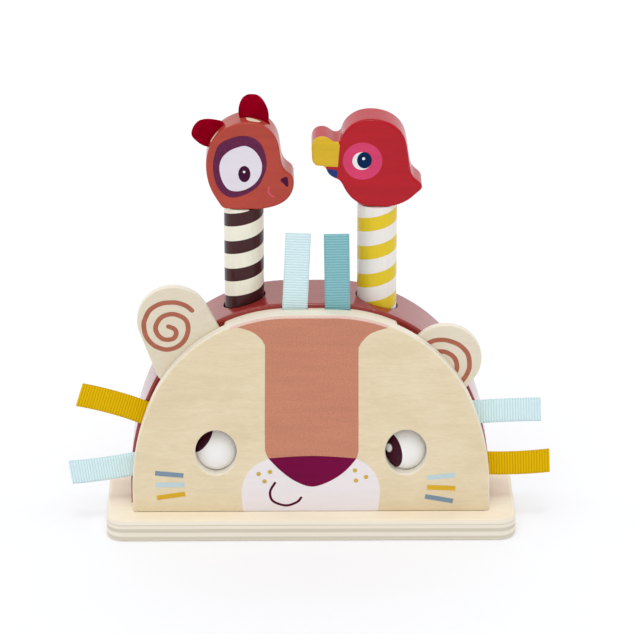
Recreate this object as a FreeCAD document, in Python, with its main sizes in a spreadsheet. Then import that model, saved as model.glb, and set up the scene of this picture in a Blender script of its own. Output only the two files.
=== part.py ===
import FreeCAD, Part
import math
import os
import Sketcher

# Pop-up animal toy: a board, a half-round block with an animal-face panel, two
# sprung pegs with flat animal heads, rocking ears, rolling ball eyes and six ribbon
# loops. Millimetres. Origin: centre of the underside. X right, Y back, Z up.

SIZES = {
    # base board
    "board_width": 209.0,
    "board_depth": 62.0,
    "board_thickness": 11.5,
    "board_corner": 9.0,
    "board_edge_round": 2.0,
    # arch outline, shared by panel, spacers and block
    "panel_width": 182.2,
    "side_rise": 11.9,
    "side_radius": 126.4,
    "side_sweep": 24.5,
    "shoulder_radius": 75.7,
    # layers, front to back
    "panel_setback": 11.0,
    "panel_thickness": 6.0,
    "panel_edge_round": 1.4,
    "panel_foot_round": 0.8,
    "gap_depth": 5.0,
    "block_depth": 33.0,
    "block_overhang": 0.6,
    "block_rise": 1.8,
    "block_left_shift": 0.45,
    "block_edge_round": 1.2,
    # eyes
    "eye_spacing": 96.6,
    "eye_height": 33.0,
    "eye_hole_width": 21.2,
    "eye_hole_height": 24.8,
    "eye_hole_round": 1.0,
    "eye_ball": 25.0,
    "eye_well": 30.4,
    "eye_clearance": 0.4,
    # spacers
    "spacer_inset": 0.4,
    "top_spacer_band": 5.5,
    "top_spacer_width": 87.2,
    "top_spacer_round": 2.2,
    "lower_inset": 1.0,
    "lower_middle_rise": 50.7,
    "lower_step_rise": 44.3,
    "lower_lug_rise": 58.0,
    "lower_middle_width": 104.0,
    "lower_lug_gap": 151.0,
    # rocking ears
    "pivot_drop": 12.1,
    "pivot_pin": 5.0,
    "pivot_fit": 0.05,
    "pivot_in_panel": 3.0,
    "pivot_in_block": 8.0,
    "ear_tilt": 8.84,
    "ear_reach": 69.27,
    "ear_drop": 3.9,
    "ear_lobe": 36.8,
    "ear_inner_lean": 36.0,
    "ear_outer_lean": 29.0,
    "ear_inner_length": 21.5,
    "ear_outer_length": 30.0,
    "ear_heel_inset": 14.72,
    "ear_heel_rise": 6.07,
    "ear_elbow_reach": 24.24,
    "ear_elbow_drop": 16.5,
    "ear_play": 0.3,
    "ear_hub": 11.0,
    "ear_hub_shoulder": 2.75,
    "ear_hub_drop": 7.7,
    "ear_edge_round": 0.9,
    # pegs
    "peg_spacing": 67.0,
    "dowel": 20.0,
    "peg_hole": 21.5,
    "peg_well": 26.0,
    "shoulder_depth": 14.0,
    "well_depth": 59.0,
    "stop_disc": 25.0,
    "stop_thickness": 6.0,
    "stop_gap": 0.2,
    "washer_width": 24.0,
    "washer_hole": 10.0,
    "washer_thickness": 1.2,
    "spring_width": 20.0,
    "spring_wire": 1.2,
    "spring_turns": 7.0,
    "spring_gap": 0.05,
    "left_dowel_rise": 47.9,
    "right_dowel_rise": 49.1,
    "head_pin": 8.0,
    "head_pin_length": 28.0,
    # heads
    "head_thickness": 18.0,
    "head_edge_round": 1.5,
    "first_head_width": 43.8,
    "first_head_height": 46.5,
    "second_head_width": 55.1,
    "second_head_height": 46.6,
    # felt ears
    "felt_thickness": 2.4,
    "felt_slot_play": 0.1,
    "felt_width": 15.2,
    "felt_depth": 5.0,
    "felt_lip": 1.2,
    "felt_top_root": 14.4,
    "felt_side_root": 10.6,
    "felt_top_length": 12.9,
    "felt_side_length": 11.8,
    "felt_top_drift": 0.2,
    "felt_side_drift": 1.5,
    "felt_top_out": 5.45,
    "felt_top_rise": 45.4,
    "felt_side_out": 13.1,
    "felt_side_rise": 37.2,
    "felt_top_lean": -2.0,
    "felt_side_lean": -49.6,
    # ribbons
    "ribbon_width": 12.7,
    "ribbon_thickness": 1.6,
    "ribbon_play": 0.15,
    "ribbon_root": 5.0,
    "top_left_offset": 8.0,
    "top_right_offset": 13.5,
    "top_root_drop": 0.3,
    "upper_root_inset": 6.65,
    "left_upper_root_rise": 51.1,
    "right_upper_root_rise": 50.9,
    "lower_root_inset": 0.7,
    "left_lower_root_rise": 22.5,
    "right_lower_root_rise": 22.2,
    "top_left_lean": 2.5,
    "top_right_lean": -0.9,
    "left_upper_lean": -73.0,
    "left_lower_lean": -98.4,
    "right_upper_lean": 87.8,
    "right_lower_lean": 87.5,
    "top_left_ribbon": 40.6,
    "top_right_ribbon": 40.1,
    "left_upper_ribbon": 34.5,
    "left_lower_ribbon": 32.9,
    "right_upper_ribbon": 32.4,
    "right_lower_ribbon": 31.6,
    # screws
    "screw": 4.0,
    "screw_head": 7.6,
    "screw_head_depth": 2.3,
    "screw_recess": 1.1,
    "screw_slot": 4.18,
    "screw_point": 4.0,
    "screw_tip": 0.5,
    "base_screw_length": 30.0,
    "base_screw_spacing": 144.0,
    "base_screw_rows": 16.5,
    "stop_screw_length": 20.0,
}

doc = FreeCAD.newDocument("pop_up_toy")
sheet = doc.addObject("Spreadsheet::Sheet", "Sizes")
for row, (alias, number) in enumerate(SIZES.items(), 1):
    sheet.set("A%d" % row, alias)
    sheet.set("B%d" % row, str(number))
    sheet.setAlias("B%d" % row, alias)
doc.recompute()


class Dim:
    """A number together with the formula that the document keeps for it."""

    def __init__(self, number, formula):
        self.number = number
        self.formula = formula

    def __add__(self, other):
        other = dim(other)
        return Dim(self.number + other.number, "(%s + %s)" % (self.formula, other.formula))

    def __sub__(self, other):
        other = dim(other)
        return Dim(self.number - other.number, "(%s - %s)" % (self.formula, other.formula))

    def __mul__(self, other):
        other = dim(other)
        return Dim(self.number * other.number, "(%s * %s)" % (self.formula, other.formula))

    def __truediv__(self, other):
        other = dim(other)
        return Dim(self.number / other.number, "(%s / %s)" % (self.formula, other.formula))

    def __neg__(self):
        return Dim(-self.number, "(0 - %s)" % self.formula)


def dim(value):
    return value if isinstance(value, Dim) else Dim(float(value), "%.6g" % value)


def sine(angle):
    return Dim(math.sin(math.radians(angle.number)), "sin(%s)" % angle.formula)


def cosine(angle):
    return Dim(math.cos(math.radians(angle.number)), "cos(%s)" % angle.formula)


def size(alias):
    return Dim(float(sheet.get(alias)), "Sizes." + alias)


def bind(thing, place, value):
    thing.setExpression(place, dim(value).formula)


# ---------------------------------------------------------------- shared levels

board_top = size("board_thickness")
panel_front = size("panel_setback") - size("board_depth") / 2
gap_front = panel_front + size("panel_thickness")
block_front = gap_front + size("gap_depth")
block_rear = block_front + size("block_depth")
block_middle = block_front + size("block_depth") / 2

half_panel = size("panel_width") / 2
side_x = half_panel - size("side_radius")
side_z = board_top + size("side_rise")
inner_radius = size("side_radius") - size("shoulder_radius")
shoulder_x = side_x + inner_radius * cosine(size("side_sweep"))
shoulder_z = side_z + inner_radius * sine(size("side_sweep"))
crown = shoulder_z + size("shoulder_radius")
block_crown = crown + size("block_rise")

eye_z = board_top + size("eye_height")
pivot_z = crown - size("pivot_drop")
well_floor = block_crown - size("well_depth")
shoulder = block_crown - size("shoulder_depth")
stop_top = shoulder - size("stop_gap")
stop_bottom = stop_top - size("stop_thickness")
washer_bottom = stop_bottom - size("spring_gap") - size("washer_thickness")
head_feet = {"left": block_crown + size("left_dowel_rise"),
             "right": block_crown + size("right_dowel_rise")}

# An edge is level if it spans less than FLAT, and found if it lies within NEAR.
FLAT = 0.01
NEAR = 0.05

parts = {}


def keep(name, thing):
    thing.Label = name
    parts[name] = thing


# ---------------------------------------------------------------- building helpers


def place(thing, x, y, z, turn=None, axis=(0, 0, 1)):
    base = FreeCAD.Vector(dim(x).number, dim(y).number, dim(z).number)
    degrees = dim(turn).number if turn is not None else 0
    rotation = FreeCAD.Rotation(FreeCAD.Vector(*axis), degrees)
    thing.Placement = FreeCAD.Placement(base, rotation)
    for letter, value in zip("xyz", (x, y, z)):
        bind(thing, "Placement.Base." + letter, value)
    if isinstance(turn, Dim):
        bind(thing, "Placement.Rotation.Angle", turn)


def cylinder(name, diameter, height, x, y, z, along="z"):
    thing = doc.addObject("Part::Cylinder", name)
    bind(thing, "Radius", dim(diameter) / 2)
    bind(thing, "Height", height)
    if along == "y":
        place(thing, x, y, z, -90, (1, 0, 0))
    else:
        place(thing, x, y, z)
    return thing


def cone(name, lower, upper, height, x, y, z):
    thing = doc.addObject("Part::Cone", name)
    bind(thing, "Radius1", dim(lower) / 2)
    bind(thing, "Radius2", dim(upper) / 2)
    bind(thing, "Height", height)
    place(thing, x, y, z)
    return thing


def box(name, length, width, height, x, y, z):
    """A box centred on x and y, standing on z."""
    thing = doc.addObject("Part::Box", name)
    bind(thing, "Length", length)
    bind(thing, "Width", width)
    bind(thing, "Height", height)
    place(thing, dim(x) - dim(length) / 2, dim(y) - dim(width) / 2, z)
    return thing


def fuse(name, things):
    if len(things) == 1:
        return things[0]
    thing = doc.addObject("Part::MultiFuse", name)
    thing.Shapes = things
    return thing


def cut(name, base, tool):
    thing = doc.addObject("Part::Cut", name)
    thing.Base = base
    thing.Tool = tool
    return thing


def new_body(name):
    return doc.addObject("PartDesign::Body", name)


def sketch_on(body, role, name, offset):
    sketch = body.newObject("Sketcher::SketchObject", name)
    plane = [p for p in body.Origin.OriginFeatures if p.Role == role][0]
    sketch.AttachmentSupport = [(plane, "")]
    sketch.MapMode = "FlatFace"
    sign = -1 if role == "XZ_Plane" else 1
    shift = dim(offset) * sign
    sketch.AttachmentOffset = FreeCAD.Placement(
        FreeCAD.Vector(0, 0, shift.number), FreeCAD.Rotation())
    bind(sketch, "AttachmentOffset.Base.z", shift)
    return sketch


def fix_point(sketch, edge, end, point, label):
    """Ties one end of an edge to its coordinates."""
    for kind, value in zip(("DistanceX", "DistanceY"), point):
        value = dim(value)
        index = sketch.addConstraint(
            Sketcher.Constraint(kind, -1, 1, edge, end, value.number))
        sketch.renameConstraint(index, "%s_%s" % (label, kind[-1]))
        if "Sizes" in value.formula:
            bind(sketch, "Constraints.%s_%s" % (label, kind[-1]), value)


def draw(sketch, path):
    """Draws a closed outline, clockwise. Each step is a corner (x, y), or a corner
    followed by the radius and the centre of the arc that leads to the next corner."""
    corners = [step[:2] for step in path]
    first = sketch.GeometryCount
    for i, step in enumerate(path):
        start = FreeCAD.Vector(dim(step[0]).number, dim(step[1]).number, 0)
        after = corners[(i + 1) % len(path)]
        end = FreeCAD.Vector(dim(after[0]).number, dim(after[1]).number, 0)
        if len(step) == 2:
            sketch.addGeometry(Part.LineSegment(start, end), False)
            continue
        radius, centre = step[2], FreeCAD.Vector(step[3].number, step[4].number, 0)
        circle = Part.Circle(centre, FreeCAD.Vector(0, 0, 1), radius.number)
        turn_a = math.atan2(end.y - centre.y, end.x - centre.x)
        turn_b = math.atan2(start.y - centre.y, start.x - centre.x)
        sketch.addGeometry(Part.ArcOfCircle(circle, turn_a, turn_b), False)
    for i, step in enumerate(path):
        here = first + i
        following = first + (i + 1) % len(path)
        leaving = 1 if len(step) > 2 else 2
        entering = 2 if len(path[(i + 1) % len(path)]) > 2 else 1
        sketch.addConstraint(
            Sketcher.Constraint("Coincident", here, leaving, following, entering))
        arriving = 2 if len(step) > 2 else 1
        fix_point(sketch, here, arriving, corners[i], "p%d" % here)
        if len(step) > 2:
            index = sketch.addConstraint(
                Sketcher.Constraint("Radius", here, step[2].number))
            sketch.renameConstraint(index, "r%d" % here)
            bind(sketch, "Constraints.r%d" % here, step[2])


def draw_circle(sketch, x, y, diameter):
    index = sketch.addGeometry(Part.Circle(
        FreeCAD.Vector(x.number, y.number, 0), FreeCAD.Vector(0, 0, 1),
        diameter.number / 2), False)
    fix_point(sketch, index, 3, (x, y), "c%d" % index)
    label = "d%d" % index
    mark = sketch.addConstraint(Sketcher.Constraint("Diameter", index, diameter.number))
    sketch.renameConstraint(mark, label)
    bind(sketch, "Constraints." + label, diameter)


def pad(body, sketch, name, length, backwards=False):
    feature = body.newObject("PartDesign::Pad", name)
    feature.Profile = sketch
    bind(feature, "Length", length)
    feature.Reversed = backwards
    doc.recompute()
    return feature


def pocket(body, sketch, name, length):
    """Cuts backwards from a sketch plane, and proves that something was cut."""
    before = body.Shape.Volume
    feature = body.newObject("PartDesign::Pocket", name)
    feature.Profile = sketch
    bind(feature, "Length", length)
    doc.recompute()
    if body.Shape.Volume > before - FLAT:
        raise RuntimeError(name + " cuts nothing")
    return feature


def edges_of(shape, wanted):
    return ["Edge%d" % i for i, edge in enumerate(shape.Edges, 1) if wanted(edge)]


def round_edges(body, name, radius, wanted):
    base = body.Tip
    feature = body.newObject("PartDesign::Fillet", name)
    feature.Base = (base, edges_of(base.Shape, wanted))
    bind(feature, "Radius", radius)
    doc.recompute()
    return feature


def flat_at(axis, level):
    """Edges that lie wholly in one plane across an axis."""
    def wanted(edge):
        low = getattr(edge.BoundBox, axis + "Min")
        high = getattr(edge.BoundBox, axis + "Max")
        return abs(low - level.number) < FLAT and abs(high - level.number) < FLAT
    return wanted


def along_y_near(points):
    """Straight edges along Y that pass close to one of the (x, z) points."""
    def wanted(edge):
        span = edge.BoundBox
        if span.YLength < FLAT or span.XLength > FLAT or span.ZLength > FLAT:
            return False
        return any(math.hypot(span.XMin - x, span.ZMin - z) < NEAR for x, z in points)
    return wanted


def arch_path(grow, left, up):
    """The half-round outline standing on the board, moved outwards by grow and then to
    the left and up."""
    side_radius = size("side_radius") + grow
    shoulder_radius = size("shoulder_radius") + grow
    half = half_panel + grow
    spring_z = side_z + up
    arc_z = shoulder_z + up
    bend_x = side_x + side_radius * cosine(size("side_sweep"))
    bend_z = spring_z + side_radius * sine(size("side_sweep"))
    top_z = arc_z + shoulder_radius
    return [
        (-half - left, board_top),
        (-half - left, spring_z, side_radius, -side_x - left, spring_z),
        (-bend_x - left, bend_z, shoulder_radius, -shoulder_x - left, arc_z),
        (-shoulder_x - left, top_z),
        (shoulder_x - left, top_z, shoulder_radius, shoulder_x - left, arc_z),
        (bend_x - left, bend_z, side_radius, side_x - left, spring_z),
        (half - left, spring_z),
        (half - left, board_top),
    ]


def arch_body(name, grow, front, depth, left=0, up=0):
    body = new_body(name)
    sketch = sketch_on(body, "XZ_Plane", name + "_outline", front)
    draw(sketch, arch_path(dim(grow), left, up))
    pad(body, sketch, name + "_pad", depth, backwards=True)
    return body


def block_body(name, front, depth):
    """A slab of the block, which stands a little proud of the panel, most at the top
    and at the left."""
    return arch_body(name, size("block_overhang"), front, depth,
                     size("block_left_shift"), size("block_rise") - size("block_overhang"))


# ---------------------------------------------------------------- base board


def make_screw(name, x, y, z, length):
    """A countersunk screw, point up, its head's face at z, with a cross recess."""
    head = cone(name + "_head", size("screw_head"), size("screw"),
                size("screw_head_depth"), x, y, z)
    straight = dim(length) - size("screw_point")
    shank = cylinder(name + "_shank", size("screw"), straight, x, y, z)
    point = cone(name + "_point", size("screw"), size("screw_tip"), size("screw_point"),
                 x, y, dim(z) + straight)
    solid = fuse(name + "_solid", [head, shank, point])
    slot = size("screw_slot")
    recess = fuse(name + "_recess", [
        box(name + "_slot_a", slot, size("screw_recess"), size("screw_recess"), x, y, z),
        box(name + "_slot_b", size("screw_recess"), slot, size("screw_recess"), x, y, z)])
    return cut(name, solid, recess)


def screw_hole(name, x, y, z, depth):
    """The countersink and the hole that a screw fills."""
    return [cone(name + "_sink", size("screw_head"), size("screw"),
                 size("screw_head_depth"), x, y, z),
            cylinder(name + "_bore", size("screw"), depth, x, y, z)]


screw_half = size("base_screw_spacing") / 2
screw_rows = (block_middle - size("base_screw_rows") / 2,
              block_middle + size("base_screw_rows") / 2)
screw_places = [(side, y) for y in screw_rows for side in (-screw_half, screw_half)]

board = new_body("board_blank")
board_sketch = sketch_on(board, "XY_Plane", "board_outline", 0)
half_x = size("board_width") / 2
half_y = size("board_depth") / 2
draw(board_sketch, [(-half_x, -half_y), (half_x, -half_y), (half_x, half_y), (-half_x, half_y)])
pad(board, board_sketch, "board_pad", size("board_thickness"))
round_edges(board, "board_corners", size("board_corner"),
            lambda edge: edge.BoundBox.ZLength > FLAT)
round_edges(board, "board_rims", size("board_edge_round"),
            lambda edge: edge.BoundBox.ZLength < FLAT)

base_holes = []
base_screws = []
for number, (x, y) in enumerate(screw_places, 1):
    base_holes += screw_hole("base_hole_%d" % number, x, y, 0, size("base_screw_length"))
    base_screws.append(make_screw("base_screw_%d" % number, x, y, 0,
                                  size("base_screw_length")))
base_hole_set = fuse("base_hole_set", base_holes)
keep("base_board", cut("base_board_cut", board, base_hole_set))
screw_group = doc.addObject("Part::Compound", "screw_group")
screw_group.Links = base_screws
keep("base_screws", screw_group)

# ---------------------------------------------------------------- half-round block

half_pegs = size("peg_spacing") / 2
half_eyes = size("eye_spacing") / 2
peg_places = (("left", -half_pegs), ("right", half_pegs))
eye_places = (("left", -half_eyes), ("right", half_eyes))
ball_radius = size("eye_ball") / 2
# A ball lies on the floor of its well, as far forward as its hole in the panel lets it.
ball_drop = (size("eye_well") - size("eye_ball")) / 2 - size("eye_clearance")
ball_z = eye_z - ball_drop
ball_shown = size("eye_hole_height") / 2 - ball_drop - size("eye_clearance")
ball_reach = Dim(math.sqrt(ball_radius.number ** 2 - ball_shown.number ** 2),
                 "sqrt(%s^2 - %s^2)" % (ball_radius.formula, ball_shown.formula))
ball_y = gap_front + ball_reach + size("eye_clearance") / 2
eye_end = ball_y + ball_radius + size("eye_clearance")

front_tools = []
for side, x in eye_places:
    front_tools.append(cylinder(side + "_eye_well", size("eye_well"),
                                eye_end - block_front, x, block_front, eye_z, "y"))
front_tools.append(cylinder("pivot_hole", size("pivot_pin"), size("pivot_in_block"),
                            0, block_front, pivot_z, "y"))
front_set = fuse("front_set", front_tools)

# The block is a thick core between two thin faces. The core has square wells for the
# pegs, and is glued up from plain pieces round them.
core_front = block_middle - size("peg_well") / 2
core_rear = block_middle + size("peg_well") / 2
face_depth = core_front - block_front
front_blank = block_body("front_blank", block_front, face_depth)
round_edges(front_blank, "front_blank_round", size("block_edge_round"),
            lambda edge: flat_at("Y", block_front)(edge) and edge.BoundBox.ZMax
            > board_top.number + NEAR)
rear_blank = block_body("rear_blank", core_rear, face_depth)
round_edges(rear_blank, "rear_blank_round", size("block_edge_round"),
            lambda edge: flat_at("Y", block_rear)(edge) and edge.BoundBox.ZMax
            > board_top.number + NEAR)
keep("block_front_board", cut("block_front_cut", front_blank, front_set))
keep("block_rear_board", rear_blank)

core = block_body("core_blank", core_front, size("peg_well"))


def core_piece(name, low_x, high_x, low_z, high_z, tool=None):
    """The part of the core between two upright and two level planes, less a tool."""
    limit = box(name + "_limit", high_x - low_x, size("peg_well"), high_z - low_z,
                (low_x + high_x) / 2, block_middle, low_z)
    piece = doc.addObject("Part::Common", name + "_piece")
    piece.Base = core
    piece.Tool = limit
    keep(name, cut(name + "_cut", piece, tool) if tool else piece)


half_block = half_panel + size("block_overhang") + size("block_left_shift")
inner_x = half_pegs - size("peg_well") / 2
outer_x = half_pegs + size("peg_well") / 2
core_piece("core_foot", -half_block, half_block, board_top, well_floor,
           fuse("foot_set", [front_set, base_hole_set]))
core_piece("core_middle", -inner_x, inner_x, well_floor, block_crown, front_set)
core_piece("core_left", -half_block, -outer_x, well_floor, block_crown)
core_piece("core_right", outer_x, half_block, well_floor, block_crown)
for side, x in peg_places:
    peg_hole = cylinder(side + "_peg_hole", size("peg_hole"), size("shoulder_depth"),
                        x, block_middle, shoulder)
    core_piece(side + "_guide", x - size("peg_well") / 2, x + size("peg_well") / 2,
               shoulder, block_crown, peg_hole)

# ---------------------------------------------------------------- ribbons

ribbon_y = block_front - size("ribbon_play") - size("ribbon_thickness") / 2
top_root = crown - size("top_root_drop")
upper_root_x = half_panel - size("upper_root_inset")
lower_root_x = half_panel - size("lower_root_inset")


def side_root(name):
    """The level where a ribbon on one side leaves the gap."""
    return board_top + size(name + "_root_rise")


RIBBON_ROOTS = {
    "top_left": (-size("top_left_offset"), top_root),
    "top_right": (size("top_right_offset"), top_root),
    "left_upper": (-upper_root_x, side_root("left_upper")),
    "left_lower": (-lower_root_x, side_root("left_lower")),
    "right_upper": (upper_root_x, side_root("right_upper")),
    "right_lower": (lower_root_x, side_root("right_lower")),
}
ribbon_slots = []
for spot, (root_x, root_z) in RIBBON_ROOTS.items():
    name = "ribbon_" + spot
    lean = size(spot + "_lean")
    body = new_body(name + "_body")
    sketch = sketch_on(body, "XZ_Plane", name + "_outline", -(size("ribbon_thickness") / 2))
    half = size("ribbon_width") / 2
    draw(sketch, [(-half, -size("ribbon_root")), (half, -size("ribbon_root")),
                  (half, size(spot + "_ribbon")), (-half, size(spot + "_ribbon"))])
    pad(body, sketch, name + "_pad", size("ribbon_thickness"), backwards=True)
    place(body, root_x, ribbon_y, root_z, lean, (0, 1, 0))
    keep(name, body)
    slot = doc.addObject("PartDesign::Body", name + "_slot")
    sketch = sketch_on(slot, "XZ_Plane", name + "_slot_outline",
                       -(size("ribbon_thickness") / 2 + size("ribbon_play")))
    wide = half + size("ribbon_play")
    deep = size("ribbon_root") + size("ribbon_play")
    draw(sketch, [(-wide, -deep), (wide, -deep), (wide, size("ribbon_width")),
                  (-wide, size("ribbon_width"))])
    pad(slot, sketch, name + "_slot_pad",
        size("ribbon_thickness") + size("ribbon_play") * 2, backwards=True)
    place(slot, root_x, ribbon_y, root_z, lean, (0, 1, 0))
    ribbon_slots.append(slot)
ribbon_slot_set = fuse("ribbon_slot_set", ribbon_slots)

# ---------------------------------------------------------------- face panel

panel = arch_body("panel_blank", 0, panel_front, size("panel_thickness"))
eye_sketch = sketch_on(panel, "XZ_Plane", "eye_holes", panel_front)
for number, (side, x) in enumerate(eye_places):
    tall = size("eye_hole_height") / 2
    wide = size("eye_hole_width") / 2
    ellipse = Part.Ellipse(FreeCAD.Vector(x.number, (eye_z + tall).number, 0),
                           FreeCAD.Vector((x - wide).number, eye_z.number, 0),
                           FreeCAD.Vector(x.number, eye_z.number, 0))
    edge = eye_sketch.addGeometry(ellipse, False)
    eye_sketch.exposeInternalGeometry(edge)
    fix_point(eye_sketch, edge, 3, (x, eye_z), "eye%d" % number)
    for line, length, label in ((edge + 1, tall * 2, "tall"), (edge + 2, wide * 2, "wide")):
        index = eye_sketch.addConstraint(
            Sketcher.Constraint("Distance", line, length.number))
        eye_sketch.renameConstraint(index, "%s%d" % (label, number))
        bind(eye_sketch, "Constraints.%s%d" % (label, number), length)
    eye_sketch.addConstraint(Sketcher.Constraint("Vertical", edge + 1))
pocket(panel, eye_sketch, "eye_hole_cut", size("panel_thickness"))


def front_rim(edge):
    return flat_at("Y", panel_front)(edge) and edge.BoundBox.ZMax > board_top.number + NEAR


def eye_rim(edge):
    return (front_rim(edge)
            and edge.BoundBox.XLength < size("eye_hole_width").number + NEAR
            and abs(abs(edge.BoundBox.Center.x) - half_eyes.number) < NEAR)


round_edges(panel, "panel_round", size("panel_edge_round"),
            lambda edge: front_rim(edge) and not eye_rim(edge))
round_edges(panel, "panel_foot_rounding", size("panel_foot_round"),
            lambda edge: flat_at("Y", panel_front)(edge) and flat_at("Z", board_top)(edge))
round_edges(panel, "eye_rounds", size("eye_hole_round"), eye_rim)
panel_pin_hole = cylinder("panel_pin_hole", size("pivot_pin"), size("pivot_in_panel"),
                          0, gap_front - size("pivot_in_panel"), pivot_z, "y")
keep("face_panel", cut("face_panel_cut", panel, panel_pin_hole))

# ---------------------------------------------------------------- spacers

outer = arch_body("top_spacer_outer", -size("spacer_inset"), gap_front, size("gap_depth"))
inner = arch_body("top_spacer_inner", -(size("spacer_inset") + size("top_spacer_band")),
                  gap_front, size("gap_depth"))
band = cut("top_spacer_band", outer, inner)
limit = box("top_spacer_limit", size("top_spacer_width"), size("gap_depth"),
            size("shoulder_radius"), 0, gap_front + size("gap_depth") / 2, shoulder_z)
crescent = doc.addObject("Part::Common", "top_spacer_crescent")
crescent.Base = band
crescent.Tool = limit
doc.recompute()
rounded = doc.addObject("Part::Fillet", "top_spacer_rounded")
rounded.Base = crescent
end_x = size("top_spacer_width") / 2
rounded.Edges = [
    (i, size("top_spacer_round").number, size("top_spacer_round").number)
    for i, edge in enumerate(crescent.Shape.Edges, 1)
    if edge.BoundBox.YLength > FLAT and abs(abs(edge.BoundBox.XMin) - end_x.number) < NEAR]
keep("top_spacer", cut("top_spacer_cut", rounded, ribbon_slot_set))

lower = arch_body("lower_blank", -size("lower_inset"), gap_front, size("gap_depth"))
notch = sketch_on(lower, "XZ_Plane", "ear_room", gap_front)
middle = size("lower_middle_width") / 2
lug = size("lower_lug_gap") / 2
middle_z = board_top + size("lower_middle_rise")
step_z = board_top + size("lower_step_rise")
lug_z = board_top + size("lower_lug_rise")
bevel = middle_z - step_z
outside = half_panel + size("block_overhang")
draw(notch, [
    (-middle, middle_z), (middle, middle_z), (middle + bevel, step_z), (lug, step_z),
    (lug, lug_z), (outside, lug_z), (outside, block_crown),
    (-outside, block_crown), (-outside, lug_z), (-lug, lug_z),
    (-lug, step_z), (-middle - bevel, step_z)])
pocket(lower, notch, "ear_room_cut", size("gap_depth"))
wells = sketch_on(lower, "XZ_Plane", "ball_room", gap_front)
for side, x in eye_places:
    draw_circle(wells, x, eye_z, size("eye_well"))
pocket(lower, wells, "ball_room_cut", size("gap_depth"))
keep("lower_spacer", cut("lower_spacer_cut", lower, ribbon_slot_set))

# ---------------------------------------------------------------- rocking ears


def ear_half():
    """Corners of one ear and its arm, seen from the front, from the pivot: the hub,
    the arm's upper edge, the lobe's arc and the tongue's end."""
    radius = size("ear_lobe") / 2
    inner_lean = size("ear_inner_lean")
    outer_lean = size("ear_outer_lean")
    start = (size("ear_reach") - radius * cosine(inner_lean),
             radius * sine(inner_lean) - size("ear_drop"))
    end = (size("ear_reach") + radius * cosine(outer_lean),
           -(radius * sine(outer_lean)) - size("ear_drop"))
    armpit = (start[0] - size("ear_inner_length") * sine(inner_lean),
              start[1] - size("ear_inner_length") * cosine(inner_lean))
    tip = (end[0] - size("ear_outer_length") * sine(outer_lean),
           end[1] - size("ear_outer_length") * cosine(outer_lean))
    heel = (tip[0] - size("ear_heel_inset"), tip[1] + size("ear_heel_rise"))
    return start, end, armpit, tip, heel


hub = size("ear_hub") / 2
lobe_start, lobe_end, armpit, tip, heel = ear_half()
elbow = (size("ear_elbow_reach"), -size("ear_elbow_drop"))
lobe_radius = size("ear_lobe") / 2
right_walk = [
    (size("ear_hub_shoulder"), hub), armpit,
    lobe_start + (lobe_radius, size("ear_reach"), -size("ear_drop")),
    lobe_end, tip, heel, elbow, (size("ear_hub_shoulder"), -size("ear_hub_drop"))]
ear_path = [(step[0], step[1] + pivot_z) + ((step[2], step[3], step[4] + pivot_z)
            if len(step) > 2 else ()) for step in right_walk]
left_path = []
for i in range(len(right_walk) - 1, -1, -1):
    step = right_walk[i]
    arc = right_walk[i - 1][2:] if i else ()
    mirrored = (-step[0], step[1] + pivot_z)
    if arc:
        mirrored += (arc[0], -arc[1], arc[2] + pivot_z)
    left_path.append(mirrored)
ears = new_body("ear_body")
ear_sketch = sketch_on(ears, "XZ_Plane", "ear_outline", gap_front + size("ear_play"))
draw(ear_sketch, ear_path + left_path)
ear_depth = size("gap_depth") - size("ear_play") * 2
pad(ears, ear_sketch, "ear_pad", ear_depth, backwards=True)
corner_points = []
for point in (armpit, tip, heel, elbow):
    for side in (-1, 1):
        corner_points.append((point[0].number * side, (point[1] + pivot_z).number))
round_edges(ears, "ear_corners", size("ear_hub") / 2, along_y_near(corner_points))
round_edges(ears, "ear_rims", size("ear_edge_round"),
            lambda edge: edge.BoundBox.YLength < FLAT)
pivot_bore = cylinder("pivot_bore", size("pivot_pin") + size("pivot_fit") * 2,
                      size("gap_depth"), 0, gap_front, pivot_z, "y")
ear_cut = cut("ear_cut", ears, pivot_bore)
# The plate is drawn level and then turned about its pivot to the pose it rests in.
tilt = size("ear_tilt")
place(ear_cut, -(pivot_z * sine(tilt)), 0, pivot_z - pivot_z * cosine(tilt), tilt, (0, 1, 0))
keep("ear_plate", ear_cut)
pin_length = size("pivot_in_panel") + size("gap_depth") + size("pivot_in_block")
keep("ear_pivot_pin", cylinder("pivot_pin_solid", size("pivot_pin"), pin_length, 0,
                               gap_front - size("pivot_in_panel"), pivot_z, "y"))

# ---------------------------------------------------------------- eye balls

for side, x in eye_places:
    ball = doc.addObject("Part::Sphere", side + "_ball")
    bind(ball, "Radius", ball_radius)
    place(ball, x, ball_y, ball_z)
    keep(side + "_eye_ball", ball)

# ---------------------------------------------------------------- heads

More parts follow.
